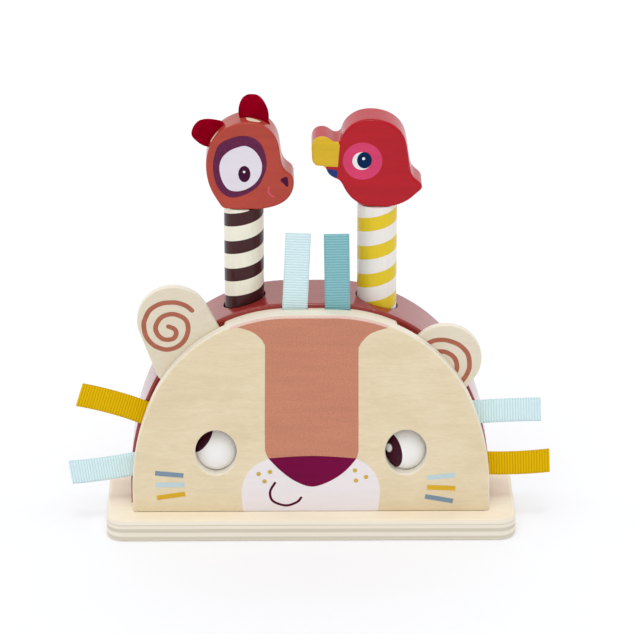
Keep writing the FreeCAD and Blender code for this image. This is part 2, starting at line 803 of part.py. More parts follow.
# Each outline is one closed smooth curve through (x, z) points, measured from the
# dowel's axis and the head's foot; points crowd only where it turns sharply.
FIRST_HEAD = [
    (1.0, 0.0), (7.0, 0.05), (12.0, 0.7), (16.0, 1.8), (19.6, 3.6), (22.6, 6.3),
    (24.6, 10.2), (25.2, 14.3), (24.1, 18.1), (21.2, 20.7), (19.5, 23.6), (18.5, 28.6),
    (17.3, 35.5), (13.4, 42.2), (7.5, 45.7), (1.0, 46.5), (-6.6, 44.2), (-12.8, 39.7),
    (-17.0, 32.8), (-18.6, 25.0), (-18.2, 17.8), (-16.3, 10.8), (-13.6, 5.6),
    (-11.8, 2.7), (-10.2, 0.9), (-7.8, 0.35), (-3.0, 0.1)]
SECOND_HEAD = [
    (1.0, 0.0), (6.0, 0.05), (11.0, 1.3), (16.2, 4.1), (20.2, 7.7), (22.2, 10.3),
    (21.7, 12.1), (18.4, 15.4), (17.0, 17.6), (16.3, 20.2), (15.7, 24.1), (14.9, 29.5),
    (13.6, 35.8), (10.0, 41.6), (3.5, 45.5), (-2.5, 46.6), (-9.3, 45.7), (-14.6, 42.4),
    (-17.4, 38.2), (-18.7, 35.3), (-20.8, 34.4), (-24.8, 36.5), (-28.2, 37.3),
    (-31.3, 36.0), (-32.9, 32.4), (-32.8, 27.6), (-32.2, 23.7), (-30.6, 22.1),
    (-27.8, 21.8), (-26.1, 20.7), (-24.8, 18.2), (-22.0, 15.7), (-19.0, 13.9),
    (-17.0, 10.6), (-13.5, 5.2), (-8.6, 1.5), (-3.0, 0.05)]
CURVE_SAMPLES = 400  # places tried along an outline to find its lowest one


def head_blank(name, outline, width, height, x, head_foot):
    """A flat board cut to the outline, stretched to its width and height, with all
    its rims rounded over."""
    drawn_width = max(p[0] for p in outline) - min(p[0] for p in outline)
    drawn_height = max(p[1] for p in outline)
    stretch_x = size(width).number / drawn_width
    stretch_z = size(height).number / drawn_height
    curve = Part.BSplineCurve()
    curve.interpolate(
        Points=[FreeCAD.Vector(px * stretch_x, 0, pz * stretch_z) for px, pz in outline],
        PeriodicFlag=True)
    foot = min(point.z for point in curve.discretize(CURVE_SAMPLES))
    face = Part.Face(Part.Wire([curve.toShape()]))
    solid = face.extrude(FreeCAD.Vector(0, size("head_thickness").number, 0))
    rims = [edge for edge in solid.Edges if edge.BoundBox.YLength < FLAT]
    thing = doc.addObject("Part::Feature", name)
    thing.Shape = solid.makeFillet(size("head_edge_round").number, rims)
    place(thing, x, block_middle - size("head_thickness") / 2, head_foot - foot)
    return thing


# Felt ears of the first head: place of the root from the axis and the foot.
FELT_ROOTS = {
    "felt_top": (size("felt_top_out"), size("felt_top_rise")),
    "felt_side": (-size("felt_side_out"), size("felt_side_rise")),
}


def make_felt(name, ear, x, y, z):
    """A felt tab: a straight root inside the slot and a wider round-ended flap, which
    starts a lip's height above the root's middle and drifts to the left."""
    body = new_body(name + "_body")
    sketch = sketch_on(body, "XZ_Plane", name + "_outline", -(size("felt_thickness") / 2))
    root = size(ear + "_root") / 2
    half = size("felt_width") / 2
    drift = size(ear + "_drift")
    length = size(ear + "_length")
    straight = length - half
    deep = size("felt_depth")
    lip = size("felt_lip")
    draw(sketch, [(-root, -deep), (-root, lip),
                  (-half - drift, straight, half, -drift, straight),
                  (-drift, length, half, -drift, straight),
                  (half - drift, straight), (root, lip), (root, -deep)])
    pad(body, sketch, name + "_pad", size("felt_thickness"), backwards=True)
    place(body, x, y, z, size(ear + "_lean"), (0, 1, 0))
    return body


def felt_slot(name, ear, x, y, z):
    body = new_body(name + "_slot")
    half = size(ear + "_root") / 2 + size("felt_slot_play")
    thick = size("felt_thickness") / 2 + size("felt_slot_play")
    sketch = sketch_on(body, "XZ_Plane", name + "_slot_outline", -thick)
    deep = size("felt_depth") + size("felt_slot_play")
    draw(sketch, [(-half, -deep), (-half, deep), (half, deep), (half, -deep)])
    pad(body, sketch, name + "_slot_pad", thick * 2, backwards=True)
    place(body, x, y, z, size(ear + "_lean"), (0, 1, 0))
    return body


HEADS = (
    ("left", -half_pegs, FIRST_HEAD, "first_head_width", "first_head_height"),
    ("right", half_pegs, SECOND_HEAD, "second_head_width", "second_head_height"),
)
pin_half = size("head_pin_length") / 2
for side, x, outline, width, height in HEADS:
    head_foot = head_feet[side]
    blank = head_blank(side + "_head_blank", outline, width, height, x, head_foot)
    tools = [cylinder(side + "_head_bore", size("head_pin"),
                      pin_half + size("head_edge_round"), x, block_middle,
                      head_foot - size("head_edge_round"))]
    if side == "left":
        for ear, (out, rise) in FELT_ROOTS.items():
            name = ear.replace("felt_", "felt_ear_")
            tools.append(felt_slot(name, ear, x + out, block_middle, head_foot + rise))
            keep(name, make_felt(name, ear, x + out, block_middle, head_foot + rise))
    keep(side + "_head", cut(side + "_head_cut", blank, fuse(side + "_head_tools", tools)))

# ---------------------------------------------------------------- pegs


def make_spring(name, x):
    """A compression spring from the well's floor to the washer."""
    wire = size("spring_wire")
    low = well_floor + size("spring_gap")
    rise = washer_bottom - size("spring_gap") - low - wire
    helix = doc.addObject("Part::Helix", name + "_line")
    bind(helix, "Radius", (size("spring_width") - wire) / 2)
    bind(helix, "Pitch", rise / size("spring_turns"))
    bind(helix, "Height", rise)
    ring = doc.addObject("Part::Circle", name + "_wire")
    bind(ring, "Radius", wire / 2)
    place(ring, (size("spring_width") - wire) / 2, 0, 0, 90, (1, 0, 0))
    doc.recompute()
    sweep = doc.addObject("Part::Sweep", name + "_sweep")
    sweep.Sections = [ring]
    sweep.Spine = (helix, ["Edge%d" % i for i in range(1, len(helix.Shape.Edges) + 1)])
    sweep.Solid = True
    sweep.Frenet = True
    place(sweep, x, block_middle, low + wire / 2)
    return sweep


for side, x in peg_places:
    head_foot = head_feet[side]
    dowel_solid = cylinder(side + "_dowel_solid", size("dowel"), head_foot - stop_top,
                           x, block_middle, stop_top)
    pin_bore = cylinder(side + "_dowel_bore", size("head_pin"), pin_half, x, block_middle,
                        head_foot - pin_half)
    stop_holes = fuse(side + "_stop_holes",
                      screw_hole(side + "_stop_hole", x, block_middle, stop_bottom,
                                 size("stop_screw_length")))
    dowel_tools = fuse(side + "_dowel_tools", [pin_bore, stop_holes])
    keep(side + "_dowel", cut(side + "_dowel_cut", dowel_solid, dowel_tools))
    disc = cylinder(side + "_disc_solid", size("stop_disc"), size("stop_thickness"),
                    x, block_middle, stop_bottom)
    keep(side + "_stop_disc", cut(side + "_disc_cut", disc, stop_holes))
    keep(side + "_stop_screw", make_screw(side + "_stop_screw_solid", x, block_middle,
                                          stop_bottom, size("stop_screw_length")))
    keep(side + "_head_pin", cylinder(side + "_head_pin_solid", size("head_pin"),
                                      size("head_pin_length"), x, block_middle,
                                      head_foot - pin_half))
    ring = cylinder(side + "_washer_solid", size("washer_width"), size("washer_thickness"),
                    x, block_middle, washer_bottom)
    hole = cylinder(side + "_washer_hole", size("washer_hole"), size("washer_thickness"),
                    x, block_middle, washer_bottom)
    keep(side + "_thrust_washer", cut(side + "_washer_cut", ring, hole))
    keep(side + "_spring", make_spring(side + "_spring", x))

# ---------------------------------------------------------------- checks and export

doc.recompute()
faults = [thing.Name for thing in doc.Objects
          if "Invalid" in thing.State or "Error" in thing.State]
for name, thing in parts.items():
    if thing.Shape.isNull() or not thing.Shape.isValid() or not thing.Shape.Solids:
        faults.append(name)
if faults:
    raise RuntimeError("failed: " + ", ".join(faults))

os.makedirs("parts", exist_ok=True)
for name, thing in parts.items():
    thing.Shape.exportStep(os.path.join("parts", name + ".step"))
    bounds = thing.Shape.BoundBox
    print("%-22s solids %d  volume %9.1f  x %7.2f %7.2f  y %7.2f %7.2f  z %7.2f %7.2f" % (
        name, len(thing.Shape.Solids), thing.Shape.Volume, bounds.XMin, bounds.XMax,
        bounds.YMin, bounds.YMax, bounds.ZMin, bounds.ZMax))
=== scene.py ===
"""Looks of the pop-up animal toy: woods, paints, painted faces, ribbons and felt ears."""
import math

import bmesh
import bpy
from mathutils import Matrix, Vector


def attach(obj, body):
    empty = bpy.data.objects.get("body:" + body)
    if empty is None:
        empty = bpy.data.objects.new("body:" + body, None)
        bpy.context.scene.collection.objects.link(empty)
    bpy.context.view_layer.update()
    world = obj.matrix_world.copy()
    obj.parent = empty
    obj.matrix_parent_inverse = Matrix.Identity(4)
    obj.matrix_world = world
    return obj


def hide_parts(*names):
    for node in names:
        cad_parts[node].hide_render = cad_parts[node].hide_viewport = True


MM = 0.001

# Places and sizes of the CAD pieces, in millimetres (degrees for the tilt).
BOARD_TOP = 11.5
PANEL_FRONT, PANEL_BACK = -20.0, -14.0
PANEL_ROUND = 1.4
PANEL_FOOT_ROUND = 0.8
PANEL_SHOULDER = 100.0
EAR_FRONT, EAR_BACK = -13.7, -9.3
EAR_PIVOT = (0.0, 108.0)
EAR_TILT = math.radians(8.84)
HEAD_FRONT = -1.5
HEAD_FOOT = 171.0
HEAD_X = 33.2
HEAD_ROUND = 1.5
PEG_X = 33.5
PEG_Y = 7.5
EYE_X = 48.3
EYE_Y = -5.916
EYE_Z = 42.2
RIBBON_Y = -9.6
RIBBON_WIDTH = 12.7
RIBBON_ROOT = 4.8
FELT_THICKNESS = 2.3

# Trim that this script adds: coats of paint, and the ribs of the ribbons.
PAINT_LAYER = 0.06
PAINT_ROOT = 0.02
RIB = 1.38 * MM

# Sides, as the painted shapes name them.
LEFT, RIGHT = -1, 1

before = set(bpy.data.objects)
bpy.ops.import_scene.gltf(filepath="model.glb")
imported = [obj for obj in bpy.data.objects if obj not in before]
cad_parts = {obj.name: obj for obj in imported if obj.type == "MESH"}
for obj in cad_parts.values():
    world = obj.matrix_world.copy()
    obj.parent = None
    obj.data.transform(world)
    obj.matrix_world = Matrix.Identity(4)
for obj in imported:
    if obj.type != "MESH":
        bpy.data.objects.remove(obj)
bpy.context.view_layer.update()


# ---------------------------------------------------------------- finishes


def shade(red, green, blue):
    """The linear colour of a shade written as a screen shows it, 0 to 255 a channel."""
    linear = []
    for value in (red, green, blue):
        share = value / 255
        linear.append(share / 12.92 if share <= 0.04045 else ((share + 0.055) / 1.055) ** 2.4)
    return (*linear, 1.0)


def scaled(colour, share):
    """The colour with its three channels times share, each at most 1."""
    return tuple(min(1.0, value * share) for value in colour[:3]) + (1.0,)


class Finish:
    """A node material. Places are metres in the toy's own frame, as the body carries it."""

    def __init__(self, name, colour, roughness, **weights):
        self.material = bpy.data.materials.new(name)
        self.material.use_nodes = True
        self.material.diffuse_color = colour
        self.tree = self.material.node_tree
        self.shader = self.tree.nodes["Principled BSDF"]
        self.shader.inputs["Base Color"].default_value = colour
        self.shader.inputs["Roughness"].default_value = roughness
        for socket, value in weights.items():
            self.shader.inputs[socket.replace("_", " ")].default_value = value

    def feed(self, socket, source):
        """Links a socket to another, or sets it to a value; None leaves it alone."""
        if isinstance(source, bpy.types.NodeSocket):
            self.tree.links.new(source, socket)
        elif source is not None:
            socket.default_value = source

    def node(self, kind, *sources, **options):
        """A new shader node with its options set and its sockets fed in order."""
        made = self.tree.nodes.new("ShaderNode" + kind)
        for option, value in options.items():
            setattr(made, option, value)
        for socket, source in zip(made.inputs, sources):
            self.feed(socket, source)
        return made

    def number(self, operation, *sources):
        """The outcome of a Math node."""
        return self.node("Math", *sources, operation=operation).outputs[0]

    def blend(self, *weighted):
        """The sum of (source, weight) pairs."""
        total = None
        for source, weight in weighted:
            part = self.number("MULTIPLY", source, weight)
            total = part if total is None else self.number("ADD", total, part)
        return total

    def place(self):
        """Where a point lies in the toy's frame, in metres."""
        return self.node("TexCoord").outputs["Object"]

    def axis(self, source, letter):
        """One of a vector's three numbers."""
        return self.node("SeparateXYZ", source).outputs[letter]

    def noise(self, stretch, detail=3.0, distortion=0.0):
        """Soft noise from 0 to 1, with so many bumps to the metre along each axis."""
        point = self.node("Mapping", self.place(), None, None, stretch).outputs[0]
        made = self.node("TexNoise")
        self.feed(made.inputs["Vector"], point)
        made.inputs["Scale"].default_value = 1.0
        made.inputs["Detail"].default_value = detail
        made.inputs["Distortion"].default_value = distortion
        return made.outputs[0]

    def step(self, source, low, high):
        """0 below low and 1 above high, with a smooth rise between them."""
        made = self.node("MapRange", source, low, high, interpolation_type="SMOOTHSTEP")
        return made.outputs[0]

    def mix(self, share, first, second):
        """The first colour where the share is 0, and the second where it is 1."""
        made = self.node("Mix", data_type="RGBA")
        for socket, source in ((0, share), (6, first), (7, second)):
            self.feed(made.inputs[socket], source)
        return made.outputs[2]

    def bands(self, source, stops):
        """A colour for each place from 0 to 1, running smoothly between the stops. The
        ramp sorts its stops as they move, so their colours come last."""
        made = self.node("ValToRGB", source)
        ramp = made.color_ramp
        for place, _ in stops[2:]:
            ramp.elements.new(place)
        for element, (place, _) in zip(ramp.elements, stops):
            element.position = place
        for element, (_, colour) in zip(ramp.elements, stops):
            element.color = colour
        return made.outputs[0]

    def colour(self, source):
        """Gives the surface its colour."""
        self.feed(self.shader.inputs["Base Color"], source)

    def rough(self, source, low, high):
        """Roughness from low to high as the source goes through its usual middle range."""
        made = self.node("MapRange", source, 0.3, 0.7, low, high)
        self.feed(self.shader.inputs["Roughness"], made.outputs[0])

    def bump(self, source, depth, strength=1.0):
        """Raises the surface by depth millimetres where the source is 1."""
        made = self.node("Bump")
        made.inputs["Strength"].default_value = strength
        made.inputs["Distance"].default_value = depth * MM
        self.feed(made.inputs["Height"], source)
        self.feed(self.shader.inputs["Normal"], made.outputs[0])


GLOSS = {"Coat_Weight": 0.5, "Coat_Roughness": 0.1, "Coat_IOR": 1.4}


def wood(name, light, dark):
    """Pale sanded veneer: fine short streaks along X, a mottle, and broad soft clouds."""
    made = Finish(name, light, roughness=0.46, Specular_IOR_Level=0.3)
    streaks = made.noise((70, 330, 330), detail=4.0, distortion=0.9)
    fibres = made.noise((300, 1300, 1300))
    clouds = made.noise((22, 40, 34), detail=4.0, distortion=0.6)
    share = made.blend((streaks, 0.35), (clouds, 0.4), (fibres, 0.25))
    made.colour(made.mix(made.step(share, 0.28, 0.72), light, dark))
    made.rough(streaks, 0.41, 0.51)
    made.bump(fibres, depth=0.012, strength=0.5)
    return made


def plywood(name, light, dark, stops, letter, low, high):
    """Veneer on the flat faces, and on the edges the layers of the board, from low to high
    millimetres along the letter's axis."""
    made = wood(name, light, dark)
    veneer = made.shader.inputs["Base Color"].links[0].from_socket
    across = made.axis(made.place(), letter)
    share = made.node("MapRange", across, low * MM, high * MM).outputs[0]
    wander = made.number("MULTIPLY", made.noise((30, 30, 30)), 0.03)
    layers = made.bands(made.number("ADD", share, wander), stops)
    flat = made.number("ABSOLUTE", made.axis(made.node("TexCoord").outputs["Normal"], letter))
    made.colour(made.mix(made.step(flat, 0.55, 0.9), layers, veneer))
    return made


def paint(name, colour, roughness=0.42, grain=0.01, speckle=0.3, contrast=0.07, **weights):
    """Satin paint on wood, with a little of the grain telegraphing through."""
    made = Finish(name, colour, roughness, Specular_IOR_Level=0.06, **weights)
    streaks = made.noise((30, 300, 300))
    pores = made.noise((1500, 1500, 1500), detail=2.0)
    share = made.blend((streaks, 1 - speckle), (pores, speckle))
    made.colour(made.mix(made.step(share, 0.3, 0.7), scaled(colour, 1 + contrast),
                         scaled(colour, 1 - contrast)))
    made.rough(pores, roughness - 0.05, roughness + 0.05)
    made.bump(share, grain)
    return made


def striped(name, paint_shade, ground_shade, x, pitch, width, top, angle):
    """One painted stripe that winds up the dowel at x: its upper edge passes the height
    `top` at `angle`. Lengths are millimetres, the angle is degrees."""
    made = Finish(name, ground_shade, roughness=0.38, Specular_IOR_Level=0.06, **GLOSS)
    place = made.place()
    turn = made.number("ARCTAN2",
                       made.number("SUBTRACT", made.axis(place, "Y"), PEG_Y * MM),
                       made.number("SUBTRACT", made.axis(place, "X"), x * MM))
    climb = made.number("MULTIPLY", turn, pitch * MM / math.tau)
    start = (top - width - pitch * math.radians(angle) / math.tau) * MM
    height = made.number("SUBTRACT", made.number("SUBTRACT", made.axis(place, "Z"), climb),
                         start)
    share = made.number("FRACT", made.number("DIVIDE", height, pitch * MM))
    soft_edge = 0.09 / pitch
    band = made.number("SUBTRACT", made.step(share, 0.0, soft_edge),
                       made.step(share, width / pitch, width / pitch + soft_edge))
    streaks = made.noise((700, 700, 60))
    ground = made.mix(streaks, ground_shade, scaled(ground_shade, 0.88))
    stripe = made.mix(streaks, paint_shade, scaled(paint_shade, 0.9))
    made.colour(made.mix(band, ground, stripe))
    made.rough(streaks, 0.33, 0.45)
    made.bump(made.number("ADD", band, made.number("MULTIPLY", streaks, 0.3)), depth=0.05)
    return made


def eye(name, centre, axis, edge, dot=None):
    """A white lacquered ball with a round pupil about an axis, and maybe a white dot in
    it. An edge is the cosine of the angle between the axis and the rim of the spot."""
    # The white parts glow faintly by themselves: painted light that keeps the ball bright to
    # its rim in the well.
    made = Finish(name, shade(236, 234, 231), roughness=0.34, Specular_IOR_Level=0.12,
                  Emission_Strength=0.13, Subsurface_Weight=1.0,
                  Subsurface_Radius=(1.0, 1.0, 1.0), Subsurface_Scale=7 * MM)
    soft_edge = 0.006
    out = made.node("VectorMath", made.place(), tuple(v * MM for v in centre),
                    operation="SUBTRACT").outputs[0]
    out = made.node("VectorMath", out, operation="NORMALIZE").outputs[0]

    def cap(direction, limit):
        """1 on the round spot about the direction, and 0 elsewhere."""
        cosine = made.node("VectorMath", out, direction, operation="DOT_PRODUCT")
        return made.step(cosine.outputs["Value"], limit - soft_edge, limit + soft_edge)

    cover = cap(axis, edge)
    if dot:
        cover = made.number("SUBTRACT", cover, cap(*dot))
    cloud = made.noise((60, 60, 60))
    white = made.mix(cloud, shade(234, 233, 232), shade(228, 226, 224))
    plum = made.mix(cloud, shade(74, 18, 40), shade(60, 14, 32))
    made.colour(made.mix(cover, white, plum))
    # Painted glow: the white of the ball gives off light, the pupil does not.
    made.feed(made.shader.inputs["Emission Color"], made.mix(cover, white, (0, 0, 0, 1)))
    made.rough(cloud, 0.25, 0.35)
    return made


def ribbon_finish(name, colour, painted_valley_shade):
    """Grosgrain: the ribs come from the piece, and fine threads run across them. Between the
    ribs the colour is painted darker, to this share of its brightness, a painted shade; on
    their crests it is a little brighter, a painted highlight."""
    made = Finish(name, colour, roughness=0.7, Specular_IOR_Level=0.06, Sheen_Weight=0.04,
                  Sheen_Roughness=0.4)
    along = made.node("Attribute", attribute_name="along").outputs["Fac"]
    wave = made.number("SINE", made.number("MULTIPLY", along, math.tau / RIB))
    share = made.number("MULTIPLY_ADD", wave, 0.5, 0.5)
    threads = made.noise((2600, 2600, 2600), detail=2.0)
    mixed = made.blend((share, 0.8), (threads, 0.3))
    # Painted shade between the ribs and a painted highlight on their crests.
    made.colour(made.mix(made.step(mixed, 0.0, 0.6), scaled(colour, painted_valley_shade),
                         scaled(colour, 1.04)))
    made.bump(mixed, depth=0.12)
    return made


def felt_finish(name, colour):
    """Wool felt: a matt mat of fibres and small clumps."""
    made = Finish(name, colour, roughness=0.95, Specular_IOR_Level=0.0, Sheen_Weight=0.25,
                  Sheen_Roughness=0.5, Sheen_Tint=shade(210, 30, 60))
    fibres = made.noise((1100, 1100, 1100), detail=6.0)
    clumps = made.noise((260, 260, 260))
    share = made.blend((fibres, 0.6), (clumps, 0.4))
    made.colour(made.mix(made.step(share, 0.35, 0.65), colour, scaled(colour, 0.7)))
    made.bump(share, depth=0.3)
    return made


def metal(name, colour, roughness):
    """Metal brushed round its upright axis."""
    made = Finish(name, colour, roughness, Metallic=1.0)
    brushed = made.noise((900, 900, 120))
    made.rough(brushed, roughness - 0.08, roughness + 0.08)
    made.bump(brushed, depth=0.02)
    return made


# Layers across a board, as (place from 0 to 1, colour).
EDGE_LIGHT = shade(241, 233, 216)
EDGE_TAN = shade(212, 203, 184)
BASE_LAYERS = [
    (0.0, EDGE_TAN), (0.09, shade(230, 221, 202)), (0.2, EDGE_TAN), (0.29, EDGE_LIGHT),
    (0.42, EDGE_LIGHT), (0.49, EDGE_TAN), (0.6, shade(216, 206, 186)), (0.66, EDGE_LIGHT),
    (0.77, EDGE_LIGHT), (0.8, shade(210, 198, 174)), (0.83, EDGE_LIGHT),
    (0.95, EDGE_LIGHT), (0.985, shade(214, 200, 172)), (1.0, shade(240, 230, 208))]
PANEL_LAYERS = [
    (0.0, shade(240, 232, 212)), (0.3, shade(242, 236, 220)), (0.36, shade(230, 220, 200)),
    (0.42, shade(240, 234, 220)), (0.62, shade(240, 234, 220)), (0.68, shade(228, 218, 198)),
    (0.74, shade(242, 236, 220)), (1.0, shade(240, 232, 212))]

birch = plywood("birch_ply", shade(251, 240, 219), shade(245, 232, 208), BASE_LAYERS,
                "Z", 0.0, BOARD_TOP)
face_wood = plywood("face_wood", shade(240, 225, 193), shade(226, 207, 170), PANEL_LAYERS,
                    "Y", PANEL_FRONT, PANEL_BACK)
ear_wood = plywood("ear_wood", shade(234, 224, 203), shade(225, 213, 189), PANEL_LAYERS,
                   "Y", EAR_FRONT, EAR_BACK)
bare_wood = wood("bare_wood", shade(246, 236, 210), shade(238, 224, 194))
rust = paint("rust_paint", shade(150, 44, 38), roughness=0.34, Coat_Weight=1.0,
             Coat_Roughness=0.12)
steel = metal("steel", shade(190, 190, 192), roughness=0.32)
spring_steel = metal("spring_steel", shade(150, 152, 156), roughness=0.28)
terracotta = paint("terracotta_paint", shade(180, 68, 54), roughness=0.38, **GLOSS)
red = paint("red_paint", shade(182, 14, 32), roughness=0.36, **GLOSS)

NODE_FINISHES = {
    "base_board": birch, "face_panel": face_wood, "ear_plate": ear_wood,
    "block_front_board": rust, "block_rear_board": rust, "core_foot": rust,
    "core_middle": rust, "top_spacer": face_wood, "lower_spacer": bare_wood,
    "ear_pivot_pin": bare_wood, "base_screws": steel,
    "left_head": terracotta, "right_head": red,
    "left_dowel": striped("brown_peg", shade(66, 28, 30), shade(250, 246, 227),
                          x=-PEG_X, pitch=14.9, width=6.95, top=167.85, angle=-119.6),
    "right_dowel": striped("yellow_peg", shade(237, 206, 36), shade(248, 243, 236),
                           x=PEG_X, pitch=15.2, width=7.3, top=165.35, angle=-118.1),
    "left_eye_ball": eye("left_eye_paint", (-EYE_X, EYE_Y, EYE_Z),
                         axis=(-0.755, -0.231, 0.614), edge=0.7415),
    "right_eye_ball": eye("right_eye_paint", (EYE_X, EYE_Y, EYE_Z),
                          axis=(-0.832, -0.553, -0.037), edge=0.6676,
                          dot=((-0.695, -0.691, 0.198), 0.9855)),
}
for side in ("left", "right"):
    NODE_FINISHES["core_" + side] = rust
    for part, finish in (("guide", rust), ("spring", spring_steel), ("stop_disc", bare_wood),
                         ("head_pin", bare_wood), ("stop_screw", steel),
                         ("thrust_washer", steel)):
        NODE_FINISHES["%s_%s" % (side, part)] = finish


def smooth_faces(mesh):
    """Shades the whole mesh smoothly."""
    for face in mesh.polygons:
        face.use_smooth = True


for name, finish in NODE_FINISHES.items():
    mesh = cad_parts[name].data
    mesh.materials.clear()
    mesh.materials.append(finish.material)


# ---------------------------------------------------------------- painted shapes


ROUND_END = range(-75, 90, 15)

# Millimetres: closer than this corners are one, and so are the points of an outline. A
# corner lies on a flat if it is nearer to it than the third.
WELD = 0.002
CLOSEST = 0.01
FLATNESS = 0.005


def circle(centre, wide, tall=None, count=48):
    """A circle, or an oval with its two half axes."""
    tall = wide if tall is None else tall
    return [(centre[0] + wide * math.cos(math.tau * i / count),
             centre[1] + tall * math.sin(math.tau * i / count)) for i in range(count)]


def curve_point(before, start, end, after, share):
    """A point on the Catmull-Rom curve from start to end."""
    return tuple(
        0.5 * (2 * b + (c - a) * share + (2 * a - 5 * b + 4 * c - d) * share ** 2
               + (3 * b - a - 3 * c + d) * share ** 3)
        for a, b, c, d in zip(before, start, end, after))


def smooth_loop(points, steps=8):
    """A closed smooth outline through the points."""
    count = len(points)
    return [curve_point(points[i - 1], points[i], points[(i + 1) % count],
                        points[(i + 2) % count], step / steps)
            for i in range(count) for step in range(steps)]


def smooth_line(points, steps=8):
    """An open smooth line through the points."""
    ends = [points[0]] + list(points) + [points[-1]]
    line = [curve_point(*ends[i:i + 4], step / steps)
            for i in range(len(points) - 1) for step in range(steps)]
    return line + [tuple(points[-1])]


def heading(line, i):
    """The angle at which an open line runs past its point number i."""
    back, ahead = line[max(i - 1, 0)], line[min(i + 1, len(line) - 1)]
    return math.atan2(ahead[1] - back[1], ahead[0] - back[0])


def stroke(line, width, round_ends=True):
    """The outline of a brush stroke along a line."""
    half = width / 2
    left, right = [], []
    for i, point in enumerate(line):
        angle = heading(line, i)
        offset = (-math.sin(angle) * half, math.cos(angle) * half)
        left.append((point[0] + offset[0], point[1] + offset[1]))
        right.append((point[0] - offset[0], point[1] - offset[1]))
    if not round_ends:
        return right + left[::-1]
    caps = []
    for end, inner in ((line[-1], line[-2]), (line[0], line[1])):
        out = math.atan2(end[1] - inner[1], end[0] - inner[0])
        caps.append([(end[0] + half * math.cos(out + math.radians(turn)),
                      end[1] + half * math.sin(out + math.radians(turn)))
                     for turn in ROUND_END])
    return right + caps[0] + left[::-1] + caps[1]


def clipped(subject, window):
    """The part of a closed outline inside a convex one that runs counterclockwise."""
    kept = list(subject)
    for i, start in enumerate(window):
        end = window[(i + 1) % len(window)]

        def inside(p):
            """Above 0 where the point lies on the inner side of this edge."""
            return ((end[0] - start[0]) * (p[1] - start[1])
                    - (end[1] - start[1]) * (p[0] - start[0]))

        result = []
        for j, point in enumerate(kept):
            previous = kept[j - 1]
            now, before = inside(point), inside(previous)
            if (now > 0) != (before > 0):
                share = before / (before - now)
                result.append((previous[0] + (point[0] - previous[0]) * share,
                               previous[1] + (point[1] - previous[1]) * share))
            if now > 0:
                result.append(point)
        kept = result
    return kept


def signed_area(loop):
    """The area inside a closed outline, below 0 where the outline runs clockwise."""
    return sum(a[0] * b[1] - b[0] * a[1] for a, b in zip(loop, loop[1:] + loop[:1])) / 2


def span(points, axis):
    """How far the points reach from end to end along axis 0 or 1."""
    values = [point[axis] for point in points]
    return max(values) - min(values)


def front_loop(node, front):
    """The outer outline of a CAD node's flat front, counterclockwise, in millimetres."""
    mesh = bmesh.new()
    mesh.from_mesh(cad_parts[node].data)
    bmesh.ops.remove_doubles(mesh, verts=mesh.verts, dist=WELD * MM)
    flat = {face for face in mesh.faces
            if all(abs(v.co.y - front * MM) < FLATNESS * MM for v in face.verts)}
    following = {}
    for face in flat:
        for corner in face.loops:
            if corner.edge.is_boundary or any(f not in flat for f in corner.edge.link_faces):
                following[corner.vert] = corner.link_loop_next.vert
    loops = []
    while following:
        first = vert = next(iter(following))
        loop = []
        while vert in following:
            loop.append((vert.co.x / MM, vert.co.z / MM))
            vert = following.pop(vert)
        loops.append(loop)
    mesh.free()
    widest = max(loops, key=lambda loop: span(loop, 0))
    return widest if signed_area(widest) > 0 else widest[::-1]


def skin(mesh, rings, lids=True):
    """Walls from each closed ring of corners to the next, and a lid on both ends."""
    for one, two in zip(rings, rings[1:]):
        for i in range(len(one)):
            j = (i + 1) % len(one)
            mesh.faces.new((one[i], one[j], two[j], two[i]))
    if lids:
        mesh.faces.new(rings[0][::-1])
        mesh.faces.new(rings[-1])
    bmesh.ops.recalc_face_normals(mesh, faces=mesh.faces)


def painted(name, outline, front, layer, finish, body):
    """A coat of paint with that outline on a flat front: a very thin closed plate."""
    cleaned = []
    for point in outline:
        if not cleaned or math.dist(point, cleaned[-1]) > CLOSEST:
            cleaned.append(point)
    if math.dist(cleaned[0], cleaned[-1]) < CLOSEST:
        cleaned.pop()
    mesh = bmesh.new()
    top = [mesh.verts.new((x * MM, (front - PAINT_LAYER * layer) * MM, z * MM))
           for x, z in cleaned]
    bottom = [mesh.verts.new((x * MM, (front + PAINT_ROOT) * MM, z * MM))
              for x, z in cleaned]
    mesh.faces.new(top)
    mesh.faces.new(bottom[::-1])
    for i in range(len(top)):
        j = (i + 1) % len(top)
        mesh.faces.new((top[j], top[i], bottom[i], bottom[j]))
    bmesh.ops.recalc_face_normals(mesh, faces=mesh.faces)
    bmesh.ops.triangulate(mesh, faces=[f for f in mesh.faces if len(f.verts) > 4])
    added(name, mesh, finish, body)


def added(name, mesh, finish, body):
    """Puts a finished bmesh into the scene as a piece that rides a body, and frees it."""
    data = bpy.data.meshes.new(name)
    mesh.to_mesh(data)
    mesh.free()
    piece = bpy.data.objects.new(name, data)
    bpy.context.scene.collection.objects.link(piece)
    data.materials.append(finish.material)
    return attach(piece, body)


panel_loop = front_loop("face_panel", PANEL_FRONT)

# ---------------------------------------------------------------- the face

stripe_paint = paint("stripe_paint", shade(202, 136, 110), roughness=0.5, grain=0.02,
                     speckle=0.75, contrast=0.12)
# The stripe's paint where it runs over the panel's rim, paler pink there: a painted highlight.
stripe_rim_highlight = paint("stripe_rim_highlight_paint", shade(232, 200, 188), roughness=0.4, grain=0.02,
                    speckle=0.6)
nose_paint = paint("nose_paint", shade(117, 6, 64), roughness=0.4)
muzzle_paint = paint("muzzle_paint", shade(241, 234, 236), roughness=0.5, contrast=0.02)
smile_paint = paint("smile_paint", shade(86, 10, 46), roughness=0.42)
